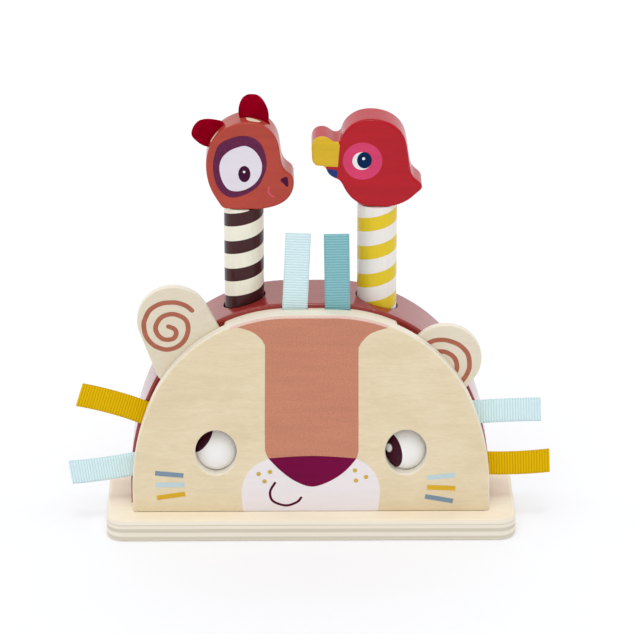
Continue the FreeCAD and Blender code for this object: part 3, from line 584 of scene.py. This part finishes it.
# The dark colour of the bead under the panel's foot is a painted shadow.
painted_seam_shadow = paint("painted_seam_shadow", shade(84, 68, 46), roughness=0.8)
freckle_paint = paint("freckle_paint", shade(205, 176, 74), roughness=0.48)
blue_grey = paint("blue_grey_paint", shade(128, 150, 168), roughness=0.48)
pale_blue = paint("pale_blue_paint", shade(194, 216, 222), roughness=0.5, contrast=0.03)
mustard = paint("mustard_paint", shade(222, 176, 50), roughness=0.48)
spiral_paint = paint("spiral_paint", shade(176, 106, 84), roughness=0.46)

# Outlines on the face, as (x, z) in millimetres.
NOSE_TOP = [(-21.6, 41.5), (-10.5, 42.4), (0.5, 42.8), (12.0, 42.3), (23.1, 41.3)]
NOSE_TIP = [(23.1, 41.3), (17.5, 34.4), (9.7, 28.7), (0.5, 25.6), (-8.2, 28.8),
            (-15.9, 35.0), (-21.6, 41.5)]
STRIPE_LEFT = [(-21.6, 41.5), (-22.9, 44.6), (-23.4, 49.0), (-23.3, 75.0), (-23.1, 101.6),
               (-23.6, 104.9), (-25.6, 108.2), (-30.6, 112.0), (-40.6, 114.8), (-46.0, 115.0)]
STRIPE_RIGHT = [(46.0, 114.4), (40.6, 113.9), (30.6, 110.7), (25.6, 105.8), (24.2, 103.0),
                (23.9, 101.4), (24.0, 75.0), (24.1, 48.8), (23.9, 44.4), (23.1, 41.3)]
MUZZLE_LEFT = [(-21.6, 41.5), (-24.4, 40.0), (-28.8, 37.4), (-33.2, 31.9), (-35.4, 23.8),
               (-34.9, 11.9)]
MUZZLE_RIGHT = [(34.2, 11.6), (35.2, 23.5), (33.1, 32.0), (29.2, 37.2), (25.4, 39.8),
                (23.1, 41.3)]

STRIPE_TOP = 122.0


def face_coat(name, outline, layer, finish):
    """A coat of paint on the front of the panel."""
    painted(name, outline, PANEL_FRONT, layer, finish, "toy_body")


stripe_outline = (smooth_line(STRIPE_LEFT)
                  + [(STRIPE_LEFT[-1][0], STRIPE_TOP), (STRIPE_RIGHT[0][0], STRIPE_TOP)]
                  + smooth_line(STRIPE_RIGHT) + smooth_line(NOSE_TOP[::-1])[1:-1])
face_coat("face_stripe", clipped(stripe_outline, panel_loop), 1, stripe_paint)


def fine_loop(loop, longest=0.4):
    """The same closed outline with points no further apart than longest."""
    fine = []
    for start, end in zip(loop, loop[1:] + loop[:1]):
        parts = max(1, math.ceil(math.dist(start, end) / longest))
        fine += [(start[0] + (end[0] - start[0]) * i / parts,
                  start[1] + (end[1] - start[1]) * i / parts) for i in range(parts)]
    return fine


def rim_coat(name, loop, covered, radius, front, turns, finish, body):
    """Paint that runs over a rounded rim, along the covered stretch of its flat's edge.
    The turns are the angles that it covers, from the flat outwards."""
    loop = fine_loop(loop)
    count = len(loop)
    first = next(i for i in range(count) if covered(loop[i]) and not covered(loop[i - 1]))
    mesh = bmesh.new()
    rings = []
    while covered(loop[(first + len(rings)) % count]):
        i = (first + len(rings)) % count
        before, after = loop[i - 2], loop[(i + 2) % count]
        angle = math.atan2(after[1] - before[1], after[0] - before[0]) - math.pi / 2
        ring = []
        for lift in (PAINT_LAYER, -PAINT_LAYER):
            for turn in turns if lift > 0 else turns[::-1]:
                reach = (radius + lift) * math.sin(math.radians(turn))
                depth = radius - (radius + lift) * math.cos(math.radians(turn))
                ring.append(mesh.verts.new(((loop[i][0] + math.cos(angle) * reach) * MM,
                                            (front + depth) * MM,
                                            (loop[i][1] + math.sin(angle) * reach) * MM)))
        rings.append(ring)
    skin(mesh, rings)
    smooth_faces(added(name, mesh, finish, body).data)


QUARTER = range(0, 91, 9)
TWO_THIRDS = range(0, 61, 6)
STRIPE_RIM = (-40.5, 38.5)
PANEL_FOOT = min(z for x, z in panel_loop)
FOOT_BAND = 0.1

# The stripe's paint runs over the rounded top rim; its paler colour there is a painted
# highlight.
rim_coat("face_stripe_rim", panel_loop,
         lambda p: STRIPE_RIM[0] < p[0] < STRIPE_RIM[1] and p[1] > PANEL_SHOULDER,
         PANEL_ROUND, PANEL_FRONT, TWO_THIRDS, stripe_rim_highlight, "toy_body")
rim_coat("face_muzzle_rim", panel_loop,
         lambda p: (MUZZLE_LEFT[-1][0] < p[0] < MUZZLE_RIGHT[0][0]
                    and p[1] < PANEL_FOOT + FOOT_BAND),
         PANEL_FOOT_ROUND, PANEL_FRONT, QUARTER, muzzle_paint, "toy_body")

# The thin dark bead under the rounded foot of the panel: a painted shadow line.
SEAM_REACH = 0.5
SEAM_TALL, SEAM_LOW = 0.18, 0.05
SEAM_ROOT = 0.02
SEAM_INSET = 1.0


def foot_shadow_bead():
    """A dark bead in the gap between the board and the panel's rounded foot: a painted shadow.
    """
    corner = PANEL_FRONT + PANEL_FOOT_ROUND
    half = max(x for x, z in panel_loop) - SEAM_INSET
    profile = [(corner - SEAM_REACH, -SEAM_ROOT), (corner - SEAM_REACH, SEAM_TALL),
               (corner, SEAM_LOW), (corner, -SEAM_ROOT)]
    mesh = bmesh.new()
    skin(mesh, [[mesh.verts.new((x * MM, y * MM, (BOARD_TOP + z) * MM)) for y, z in profile]
                for x in (-half, half)])
    added("face_foot_shadow_bead", mesh, painted_seam_shadow, "toy_body")


foot_shadow_bead()
muzzle_outline = smooth_line(MUZZLE_LEFT) + smooth_line(MUZZLE_RIGHT) + smooth_line(NOSE_TIP)
face_coat("face_muzzle", clipped(muzzle_outline, panel_loop), 1, muzzle_paint)
face_coat("face_nose", smooth_line(NOSE_TOP) + smooth_line(NOSE_TIP)[1:-1], 2, nose_paint)

FRECKLES = [(-26.7, 32.8), (-20.9, 33.9), (-23.7, 28.6), (22.4, 34.6), (28.0, 30.9),
            (22.9, 28.9)]
FRECKLE_RADIUS = 1.15
for number, centre in enumerate(FRECKLES, 1):
    face_coat("freckle_%d" % number, circle(centre, FRECKLE_RADIUS, count=24), 2,
              freckle_paint)

SMILE = [(-18.4, 27.7), (-20.9, 22.6), (-19.4, 17.5), (-12.8, 15.0), (-7.2, 16.9),
         (-5.1, 19.4)]
SMILE_WIDTH = 1.25
face_coat("face_smile", stroke(smooth_line(SMILE), SMILE_WIDTH), 2, smile_paint)

WHISKERS = [
    ((-79.4, 33.4), (-65.0, 32.0), blue_grey), ((-79.2, 26.8), (-64.5, 26.9), pale_blue),
    ((-78.6, 19.5), (-64.3, 21.7), mustard), ((59.1, 30.2), (73.4, 31.8), pale_blue),
    ((59.2, 24.9), (73.6, 24.3), mustard), ((58.2, 19.8), (72.5, 17.1), blue_grey)]
WHISKER_WIDTH = 2.6
for number, (start, end, finish) in enumerate(WHISKERS, 1):
    face_coat("whisker_%d" % number, stroke([start, end], WHISKER_WIDTH, round_ends=False),
              1, finish)

# ---------------------------------------------------------------- ears

SPIRAL = [
    (-59.7, 120.6), (-62.6, 123.1), (-66.6, 124.7), (-70.6, 125.0), (-75.7, 124.2),
    (-80.7, 121.0), (-83.3, 116.1), (-84.0, 112.3), (-83.0, 106.8), (-80.0, 102.4),
    (-76.0, 100.0), (-72.0, 99.3), (-67.5, 100.7), (-63.9, 104.0), (-61.9, 108.9),
    (-62.0, 113.3), (-63.7, 116.3), (-67.2, 118.2), (-70.7, 118.6), (-74.8, 117.1),
    (-77.3, 113.9), (-78.1, 110.6), (-76.9, 107.3), (-74.4, 105.1), (-71.4, 104.7),
    (-68.9, 105.6), (-67.7, 108.4), (-68.8, 110.6), (-71.6, 111.9)]
SPIRAL_WIDTH = 2.4
RIGHT_SPIRAL_SHIFT = (-1.7, 0.4)
SPIRAL_END = (-80, -60, -40, -20, 0)


def across_the_ears(point):
    """The mirror image of a point about the ears' own middle line."""
    x, z = point[0] - EAR_PIVOT[0], point[1] - EAR_PIVOT[1]
    level = (x * math.cos(EAR_TILT) - z * math.sin(EAR_TILT),
             x * math.sin(EAR_TILT) + z * math.cos(EAR_TILT))
    x, z = -level[0], level[1]
    return (EAR_PIVOT[0] + x * math.cos(EAR_TILT) + z * math.sin(EAR_TILT),
            EAR_PIVOT[1] - x * math.sin(EAR_TILT) + z * math.cos(EAR_TILT))


def strip(name, line, width, front, finish, body):
    """A long brush stroke with round ends, for one that winds round itself."""
    half = width / 2
    mesh = bmesh.new()
    rings = []
    for i, point in enumerate(line):
        angle = heading(line, i)
        along = (math.cos(angle), math.sin(angle))
        caps = [0]
        if i == 0:
            caps = SPIRAL_END
        elif i == len(line) - 1:
            caps = [-cap for cap in reversed(SPIRAL_END)]
        for cap in caps:
            out, wide = (half * f(math.radians(cap)) for f in (math.sin, math.cos))
            middle = (point[0] + along[0] * out, point[1] + along[1] * out)
            a, b = ((middle[0] + along[1] * wide * side, middle[1] - along[0] * wide * side)
                    for side in (1, -1))
            rings.append([mesh.verts.new((p[0] * MM, y * MM, p[1] * MM))
                          for p, y in ((a, front - PAINT_LAYER), (b, front - PAINT_LAYER),
                                       (b, front + PAINT_ROOT), (a, front + PAINT_ROOT))])
    skin(mesh, rings)
    added(name, mesh, finish, body)


left_spiral = smooth_line(SPIRAL, 6)
right_spiral = [(x + RIGHT_SPIRAL_SHIFT[0], z + RIGHT_SPIRAL_SHIFT[1])
                for x, z in map(across_the_ears, left_spiral)]
for name, line in (("left_ear_spiral", left_spiral), ("right_ear_spiral", right_spiral)):
    strip(name, line, SPIRAL_WIDTH, EAR_FRONT, spiral_paint, "ears")

# ---------------------------------------------------------------- heads

right_loop = front_loop("right_head", HEAD_FRONT)


def on_head(points, side):
    """Points measured from a head's foot, in the toy's frame."""
    return [(side * HEAD_X + x, HEAD_FOOT + z) for x, z in points]


def head_coat(name, points, side, layer, finish):
    """A coat of paint on the front of a head."""
    body = "left_peg" if side == LEFT else "right_peg"
    painted(name, on_head(points, side), HEAD_FRONT, layer, finish, body)


purple = paint("ring_paint", shade(100, 40, 74), roughness=0.42, grain=0.02, speckle=0.8,
               contrast=0.2)
lilac = paint("lilac_paint", shade(230, 223, 233), roughness=0.46, contrast=0.02)
dark_pupil = paint("pupil_paint", shade(62, 18, 50), roughness=0.4)
white_dot = paint("highlight_paint", shade(244, 240, 243), roughness=0.46, contrast=0.01)
pink_line = paint("pink_line_paint", shade(214, 92, 112), roughness=0.46)
nostril_paint = paint("nostril_paint", shade(76, 22, 56), roughness=0.44)
pink = paint("pink_paint", shade(216, 68, 110), roughness=0.42)
eye_white = paint("eye_white_paint", shade(240, 234, 238), roughness=0.46, contrast=0.02)
navy = paint("navy_paint", shade(0, 38, 80), roughness=0.4)
beak_yellow = paint("beak_yellow_paint", shade(220, 180, 34), roughness=0.42, **GLOSS)
beak_blue = paint("beak_blue_paint", shade(16, 50, 118), roughness=0.42, **GLOSS)

# Outlines on the heads, as (x, z) in millimetres from the middle of a head's foot.
RING = [(-15.4, 22.95), (-13.3, 32.05), (-9.3, 35.95), (-1.8, 38.35), (4.1, 37.55),
        (8.1, 34.55), (10.5, 29.25), (11.3, 22.85), (10.0, 17.55), (6.9, 11.65), (1.4, 7.65),
        (-4.6, 5.65), (-8.6, 6.35), (-12.1, 9.55), (-14.5, 14.95)]
LILAC = [(-12.2, 21.3), (-10.9, 26.6), (-7.4, 30.3), (-2.9, 32.4), (1.1, 33.0), (5.1, 30.8),
         (8.0, 26.6), (9.0, 22.3), (8.2, 17.5), (5.5, 13.2), (0.9, 10.0), (-4.1, 9.0),
         (-8.1, 10.3), (-11.0, 14.9)]
NOSTRIL = [(18.2, 14.7), (19.5, 16.1), (21.4, 16.4), (22.0, 14.4), (22.0, 11.4), (20.9, 11.6),
           (19.8, 12.9)]
LEFT_SMILE = [(12.5, 11.1), (12.1, 9.0), (13.0, 7.1), (14.8, 6.0)]
LEFT_SMILE_WIDTH = 0.7
head_coat("left_eye_ring", smooth_loop(RING), LEFT, 1, purple)
head_coat("left_eye_lilac", smooth_loop(LILAC), LEFT, 2, lilac)
head_coat("left_eye_pupil", circle((0.2, 18.2), 3.0, 4.3), LEFT, 3, dark_pupil)
head_coat("left_eye_highlight", circle((0.1, 19.35), 0.65, count=20), LEFT, 4, white_dot)
head_coat("left_nostril", smooth_loop(NOSTRIL, 4), LEFT, 1, nostril_paint)
head_coat("left_smile", stroke(smooth_line(LEFT_SMILE), LEFT_SMILE_WIDTH), LEFT, 1, pink_line)

head_coat("right_eye_ring", circle((-7.3, 24.85), 9.85, count=72), RIGHT, 1, pink)
head_coat("right_eye_white", circle((-7.7, 24.9), 4.7), RIGHT, 2, eye_white)
head_coat("right_eye_pupil", circle((-6.4, 25.35), 3.65, 4.3), RIGHT, 3, navy)
head_coat("right_eye_highlight", circle((-6.8, 26.2), 0.75, count=20), RIGHT, 4, white_dot)

# Convex windows, counterclockwise: the beak's paint is the part of the head inside them.
BEAK = [(-45.0, 22.9), (-31.2, 22.3), (-26.0, 21.2), (-19.7, 20.6), (-18.7, 33.6),
        (-18.7, 45.0), (-45.0, 45.0)]
LOWER_BEAK = [(-45.0, 8.0), (-20.6, 8.0), (-19.9, 14.7), (-19.7, 20.6), (-26.0, 21.2),
              (-31.2, 22.3), (-45.0, 22.9)]


def within(window):
    """A test of whether a point lies in a convex outline that runs counterclockwise."""
    def covered(point):
        return all((b[0] - a[0]) * (point[1] - a[1]) > (b[1] - a[1]) * (point[0] - a[0])
                   for a, b in zip(window, window[1:] + window[:1]))
    return covered


for name, region, finish in (("beak_upper", BEAK, beak_yellow),
                             ("beak_lower", LOWER_BEAK, beak_blue)):
    window = on_head(region, RIGHT)
    painted(name, clipped(right_loop, window), HEAD_FRONT, 1, finish, "right_peg")
    rim_coat(name + "_rim", right_loop, within(window), HEAD_ROUND, HEAD_FRONT, QUARTER,
             finish, "right_peg")

# ---------------------------------------------------------------- ribbons and felt

# The third number is how bright the painted shade between the ribs leaves the colour.
RIBBON_FINISHES = {slot: ribbon_finish(slot, colour, painted_valley_shade) for slot, colour, painted_valley_shade in (
    ("pale_blue_ribbon", shade(218, 243, 247), 0.8),
    ("teal_ribbon", shade(139, 195, 203), 0.66),
    ("mustard_ribbon", shade(230, 184, 0), 0.66))}

# Name, x and z of the root, lean in degrees, visible length, sideways bow, slot.
RIBBONS = [
    ("ribbon_top_left", -8.0, 119.8, 2.5, 40.6, 0.0, "pale_blue_ribbon"),
    ("ribbon_top_right", 13.5, 119.8, -0.9, 40.1, 0.0, "teal_ribbon"),
    ("ribbon_left_upper", -84.45, 62.6, -73.0, 34.5, 0.9, "mustard_ribbon"),
    ("ribbon_left_lower", -90.4, 34.0, -98.4, 32.9, -0.5, "pale_blue_ribbon"),
    ("ribbon_right_upper", 84.45, 62.4, 87.8, 32.4, -0.3, "pale_blue_ribbon"),
    ("ribbon_right_lower", 90.4, 33.7, 87.5, 31.6, 0.6, "mustard_ribbon")]

# The tape: its thickness, the step between its cross-sections and the columns across one,
# its fold at the tip, half the gap between its layers at the root, how far a rib stands
# up and out to the side, and the share of the thickness that the edges keep.
TAPE = 0.42
TAPE_STEP = 0.2
TAPE_COLUMNS = 8
FOLD_RADIUS = 0.5
ROOT_GAP = 0.24
RIB_HEIGHT = 0.04
RIB_SCALLOP = 0.05
EDGE_THINNING = 0.75


def turned(x, z, lean):
    """The placement of a local frame whose Z leans from upright towards +X."""
    return Matrix.Translation((x * MM, 0, z * MM)) @ Matrix.Rotation(math.radians(lean), 4, "Y")


def ribbon_path(length):
    """The middle line of a folded tape as (along, out) in millimetres, front layer first."""
    reach = RIBBON_ROOT + length - FOLD_RADIUS
    steps = int(reach / TAPE_STEP)
    points = []
    for i in range(steps + 1):
        share = i / steps
        gap = ROOT_GAP + (FOLD_RADIUS - ROOT_GAP) * share ** 2
        points.append((-RIBBON_ROOT + reach * share, -gap))
    top = points[-1][0]
    arc = [(top + FOLD_RADIUS * math.cos(math.radians(a)),
            FOLD_RADIUS * math.sin(math.radians(a))) for a in ROUND_END]
    back = [(along, -out) for along, out in reversed(points)]
    return points + arc + back


def ribbon(name, x, z, lean, length, bow, slot):
    """A loop of grosgrain tape, folded flat, with its two ends in the slot. Between root
    and tip it is bowed sideways by bow millimetres."""
    path = ribbon_path(length)
    place = turned(x, z, lean)
    mesh = bmesh.new()
    along_layer = mesh.verts.layers.float.new("along")
    rings, run = [], 0.0
    for i, point in enumerate(path):
        back, ahead = path[max(i - 1, 0)], path[min(i + 1, len(path) - 1)]
        if i:
            run += math.dist(point, path[i - 1]) * MM
        normal = Vector((ahead[1] - back[1], -(ahead[0] - back[0]))).normalized()
        wave = math.sin(math.tau * run / RIB)
        thick = TAPE / 2 + RIB_HEIGHT * wave
        half = RIBBON_WIDTH / 2 + RIB_SCALLOP * wave
        ring = []
        share = min(1.0, max(0.0, point[0] / length))
        aside = bow * 4 * share * (1 - share)
        for side in (1, -1):
            for column in range(TAPE_COLUMNS + 1):
                u = (column / TAPE_COLUMNS * 2 - 1) * side * half + aside
                ease = EDGE_THINNING if column in (0, TAPE_COLUMNS) else 1.0
                out = point[1] + normal[1] * thick * side * ease
                up = point[0] + normal[0] * thick * side * ease
                vert = mesh.verts.new(place @ Vector((u * MM, (RIBBON_Y + out) * MM, up * MM)))
                vert[along_layer] = run
                ring.append(vert)
        rings.append(ring)
    skin(mesh, rings)
    piece = added(name + "_loop", mesh, RIBBON_FINISHES[slot], "toy_body")
    smooth_faces(piece.data)
    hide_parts(name)


for row in RIBBONS:
    ribbon(*row)

crimson = felt_finish("crimson_felt", shade(156, 0, 30))

# The felt ears, measured from the head's foot like the painted shapes.
FELT_TOP = [(-1.9, 41.5), (-2.0, 44.2), (-2.6, 47.2), (-2.5, 49.9), (-1.8, 52.7),
            (-0.4, 55.3), (1.8, 56.8), (4.0, 57.1), (6.7, 56.7), (8.9, 55.0), (10.6, 52.4),
            (11.9, 49.4), (12.5, 46.1), (12.4, 43.0), (12.2, 40.0)]
FELT_SIDE = [(-7.4, 37.6), (-9.8, 39.8), (-9.7, 41.6), (-11.1, 42.9), (-13.8, 43.6),
             (-17.8, 44.1), (-21.8, 43.4), (-24.5, 41.0), (-26.0, 37.7), (-25.9, 35.3),
             (-24.1, 33.0), (-21.1, 30.6), (-17.9, 29.6), (-16.7, 31.7), (-13.6, 29.8)]

# From face to face of the felt: the share of the outline, and the depth as a share of the
# thickness.
FELT_PROFILE = [(0.0, -0.5), (0.45, -0.5), (0.8, -0.5), (0.95, -0.44), (1.0, -0.2),
                (1.0, 0.2), (0.95, 0.44), (0.8, 0.5), (0.45, 0.5), (0.0, 0.5)]
FELT_RIPPLE = 0.04
RIPPLE_WAVES = ((1.7, 0.9), (-0.6, 1.3))


def felt_ear(name, corners):
    """A tab of thick felt with soft edges and a slightly uneven face."""
    outline = on_head(smooth_loop(corners, 3), LEFT)
    middle = (sum(x for x, z in outline) / len(outline),
              sum(z for x, z in outline) / len(outline))
    mesh = bmesh.new()
    rings = []
    for grow, depth in FELT_PROFILE:
        if grow == 0.0:
            rings.append([mesh.verts.new((middle[0], FELT_THICKNESS * depth, middle[1]))])
            continue
        rings.append([mesh.verts.new((middle[0] + (u - middle[0]) * grow,
                                      FELT_THICKNESS * depth,
                                      middle[1] + (v - middle[1]) * grow))
                      for u, v in outline])
    for one, two in zip(rings, rings[1:]):
        count = max(len(one), len(two))
        for i in range(count):
            j = (i + 1) % count
            if len(one) == 1:
                mesh.faces.new((one[0], two[j], two[i]))
            elif len(two) == 1:
                mesh.faces.new((one[i], one[j], two[0]))
            else:
                mesh.faces.new((one[i], one[j], two[j], two[i]))
    for vert in mesh.verts:
        u, y, v = vert.co
        first, second = (u * wave[0] + v * wave[1] for wave in RIPPLE_WAVES)
        ripple = FELT_RIPPLE * math.sin(first) * math.cos(second)
        vert.co = Vector((u * MM, (PEG_Y + y + ripple) * MM, v * MM))
    bmesh.ops.recalc_face_normals(mesh, faces=mesh.faces)
    piece = added(name + "_tab", mesh, crimson, "left_peg")
    smooth_faces(piece.data)
    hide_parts(name)


felt_ear("felt_ear_top", FELT_TOP)
felt_ear("felt_ear_side", FELT_SIDE)

# The front and back edges of the bare wood beside each felt ear, as (x, y).
BARE_TOP_FRONT = [(-32.0, 4.6), (-31.0, 1.6), (-28.6, 0.6), (-26.0, 1.4), (-24.7, 3.2)]
BARE_TOP_BACK = [(-31.9, 5.9), (-30.4, 5.2), (-28.4, 4.6), (-26.4, 4.0), (-24.6, 3.5)]
BARE_SIDE_FRONT = [(-49.6, 1.8), (-48.2, 1.8), (-46.8, 2.4), (-45.8, 3.4)]
BARE_SIDE_BACK = [(-49.7, 4.6), (-48.3, 4.2), (-46.9, 3.9), (-45.7, 3.7)]
BARE_COLUMNS = 4
ABOVE_HEAD = HEAD_FOOT + 60.0


def bare_patch(name, front_line, back_line):
    """Unpainted wood on top of the left head, between two lines of (x, y) points."""
    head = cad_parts["left_head"]
    mesh = bmesh.new()
    rows = []
    for front, back in zip(smooth_line(front_line, 5), smooth_line(back_line, 5)):
        row = []
        for step in range(BARE_COLUMNS + 1):
            x, y = (a + (b - a) * step / BARE_COLUMNS for a, b in zip(front, back))
            start = Vector((x * MM, y * MM, ABOVE_HEAD * MM))
            spot, normal = head.ray_cast(start, (0, 0, -1))[1:3]
            row.append((mesh.verts.new(spot + normal * PAINT_LAYER * MM),
                        mesh.verts.new(spot - normal * PAINT_LAYER * MM)))
        rows.append(row)
    for row in (rows[0], rows[-1]):
        for one, two in zip(row, row[1:]):
            mesh.faces.new((one[0], two[0], two[1], one[1]))
    skin(mesh, [[high for high, low in row] + [low for high, low in row[::-1]]
                for row in rows], lids=False)
    added(name, mesh, bare_wood, "left_peg")


bare_patch("bare_slot_top", BARE_TOP_FRONT, BARE_TOP_BACK)
bare_patch("bare_slot_side", BARE_SIDE_FRONT, BARE_SIDE_BACK)

# ---------------------------------------------------------------- studio

FLOOR_HALF = 20.0
FLOOR_DROP = 0.2
floor_finish = Finish("floor_white", shade(231, 233, 237), roughness=0.9,
                      Specular_IOR_Level=0.0, Emission_Color=(1.0, 1.0, 1.0, 1.0),
                      Emission_Strength=0.17)
floor_finish.bump(floor_finish.noise((40, 40, 40)), depth=0.01)
floor_mesh = bmesh.new()
bmesh.ops.create_grid(floor_mesh, x_segments=2, y_segments=2, size=FLOOR_HALF)
floor_data = bpy.data.meshes.new("floor")
floor_mesh.to_mesh(floor_data)
floor_mesh.free()
floor = bpy.data.objects.new("floor", floor_data)
floor.location.z = -FLOOR_DROP * MM
floor_data.materials.append(floor_finish.material)
bpy.context.scene.collection.objects.link(floor)

# The sky's strength grows from the camera's side towards the back.
SKY_RISE = (0.1, 0.9)
SKY_STRENGTH = (0.62, 1.08)
world = bpy.data.worlds.new("studio")
bpy.context.scene.world = world
world.use_nodes = True
background = world.node_tree.nodes["Background"]
background.inputs["Color"].default_value = (1.0, 1.0, 1.0, 1.0)
sky = world.node_tree.nodes.new("ShaderNodeTexCoord")
split = world.node_tree.nodes.new("ShaderNodeSeparateXYZ")
glow = world.node_tree.nodes.new("ShaderNodeMapRange")
glow.interpolation_type = "SMOOTHSTEP"
for socket, value in zip(glow.inputs[1:5], SKY_RISE + SKY_STRENGTH):
    socket.default_value = value
world.node_tree.links.new(sky.outputs["Generated"], split.inputs[0])
world.node_tree.links.new(split.outputs["Y"], glow.inputs[0])
world.node_tree.links.new(glow.outputs[0], background.inputs["Strength"])


def sun(name, direction, strength, spread):
    """A sun that shines along the direction and looks spread degrees wide."""
    light = bpy.data.lights.new(name, "SUN")
    light.energy = strength
    light.angle = math.radians(spread)
    lamp = bpy.data.objects.new(name, light)
    lamp.rotation_mode = "QUATERNION"
    lamp.rotation_quaternion = Vector(direction).to_track_quat("-Z", "Y")
    bpy.context.scene.collection.objects.link(lamp)


sun("key", (0.1, 0.4, -0.95), strength=0.75, spread=60)
sun("top", (0.03, 0.39, -0.92), strength=0.3, spread=14)
sun("left", (0.87, -0.05, -0.48), strength=0.12, spread=16)
sun("right", (-0.87, -0.05, -0.48), strength=0.12, spread=16)

# The camera as fitted to the photo: places, lens and sensor in millimetres, reach in metres.
CAMERA_PLACE = (-13.05, -1863.77, 902.16)
CAMERA_TARGET = (3.215, 0.0, 111.011)
CAMERA_LENS = 227.1
CAMERA_SENSOR = 36.0
CAMERA_REACH = 100.0
camera_data = bpy.data.cameras.new("camera")
camera_data.lens = CAMERA_LENS
camera_data.sensor_width = CAMERA_SENSOR
camera_data.clip_end = CAMERA_REACH
camera = bpy.data.objects.new("camera", camera_data)
camera.location = Vector(CAMERA_PLACE) * MM
target = Vector(CAMERA_TARGET) * MM
camera.rotation_mode = "QUATERNION"
camera.rotation_quaternion = (target - camera.location).to_track_quat("-Z", "Y")
bpy.context.scene.collection.objects.link(camera)
bpy.context.scene.camera = camera
bpy.context.scene.view_settings.view_transform = "Standard"
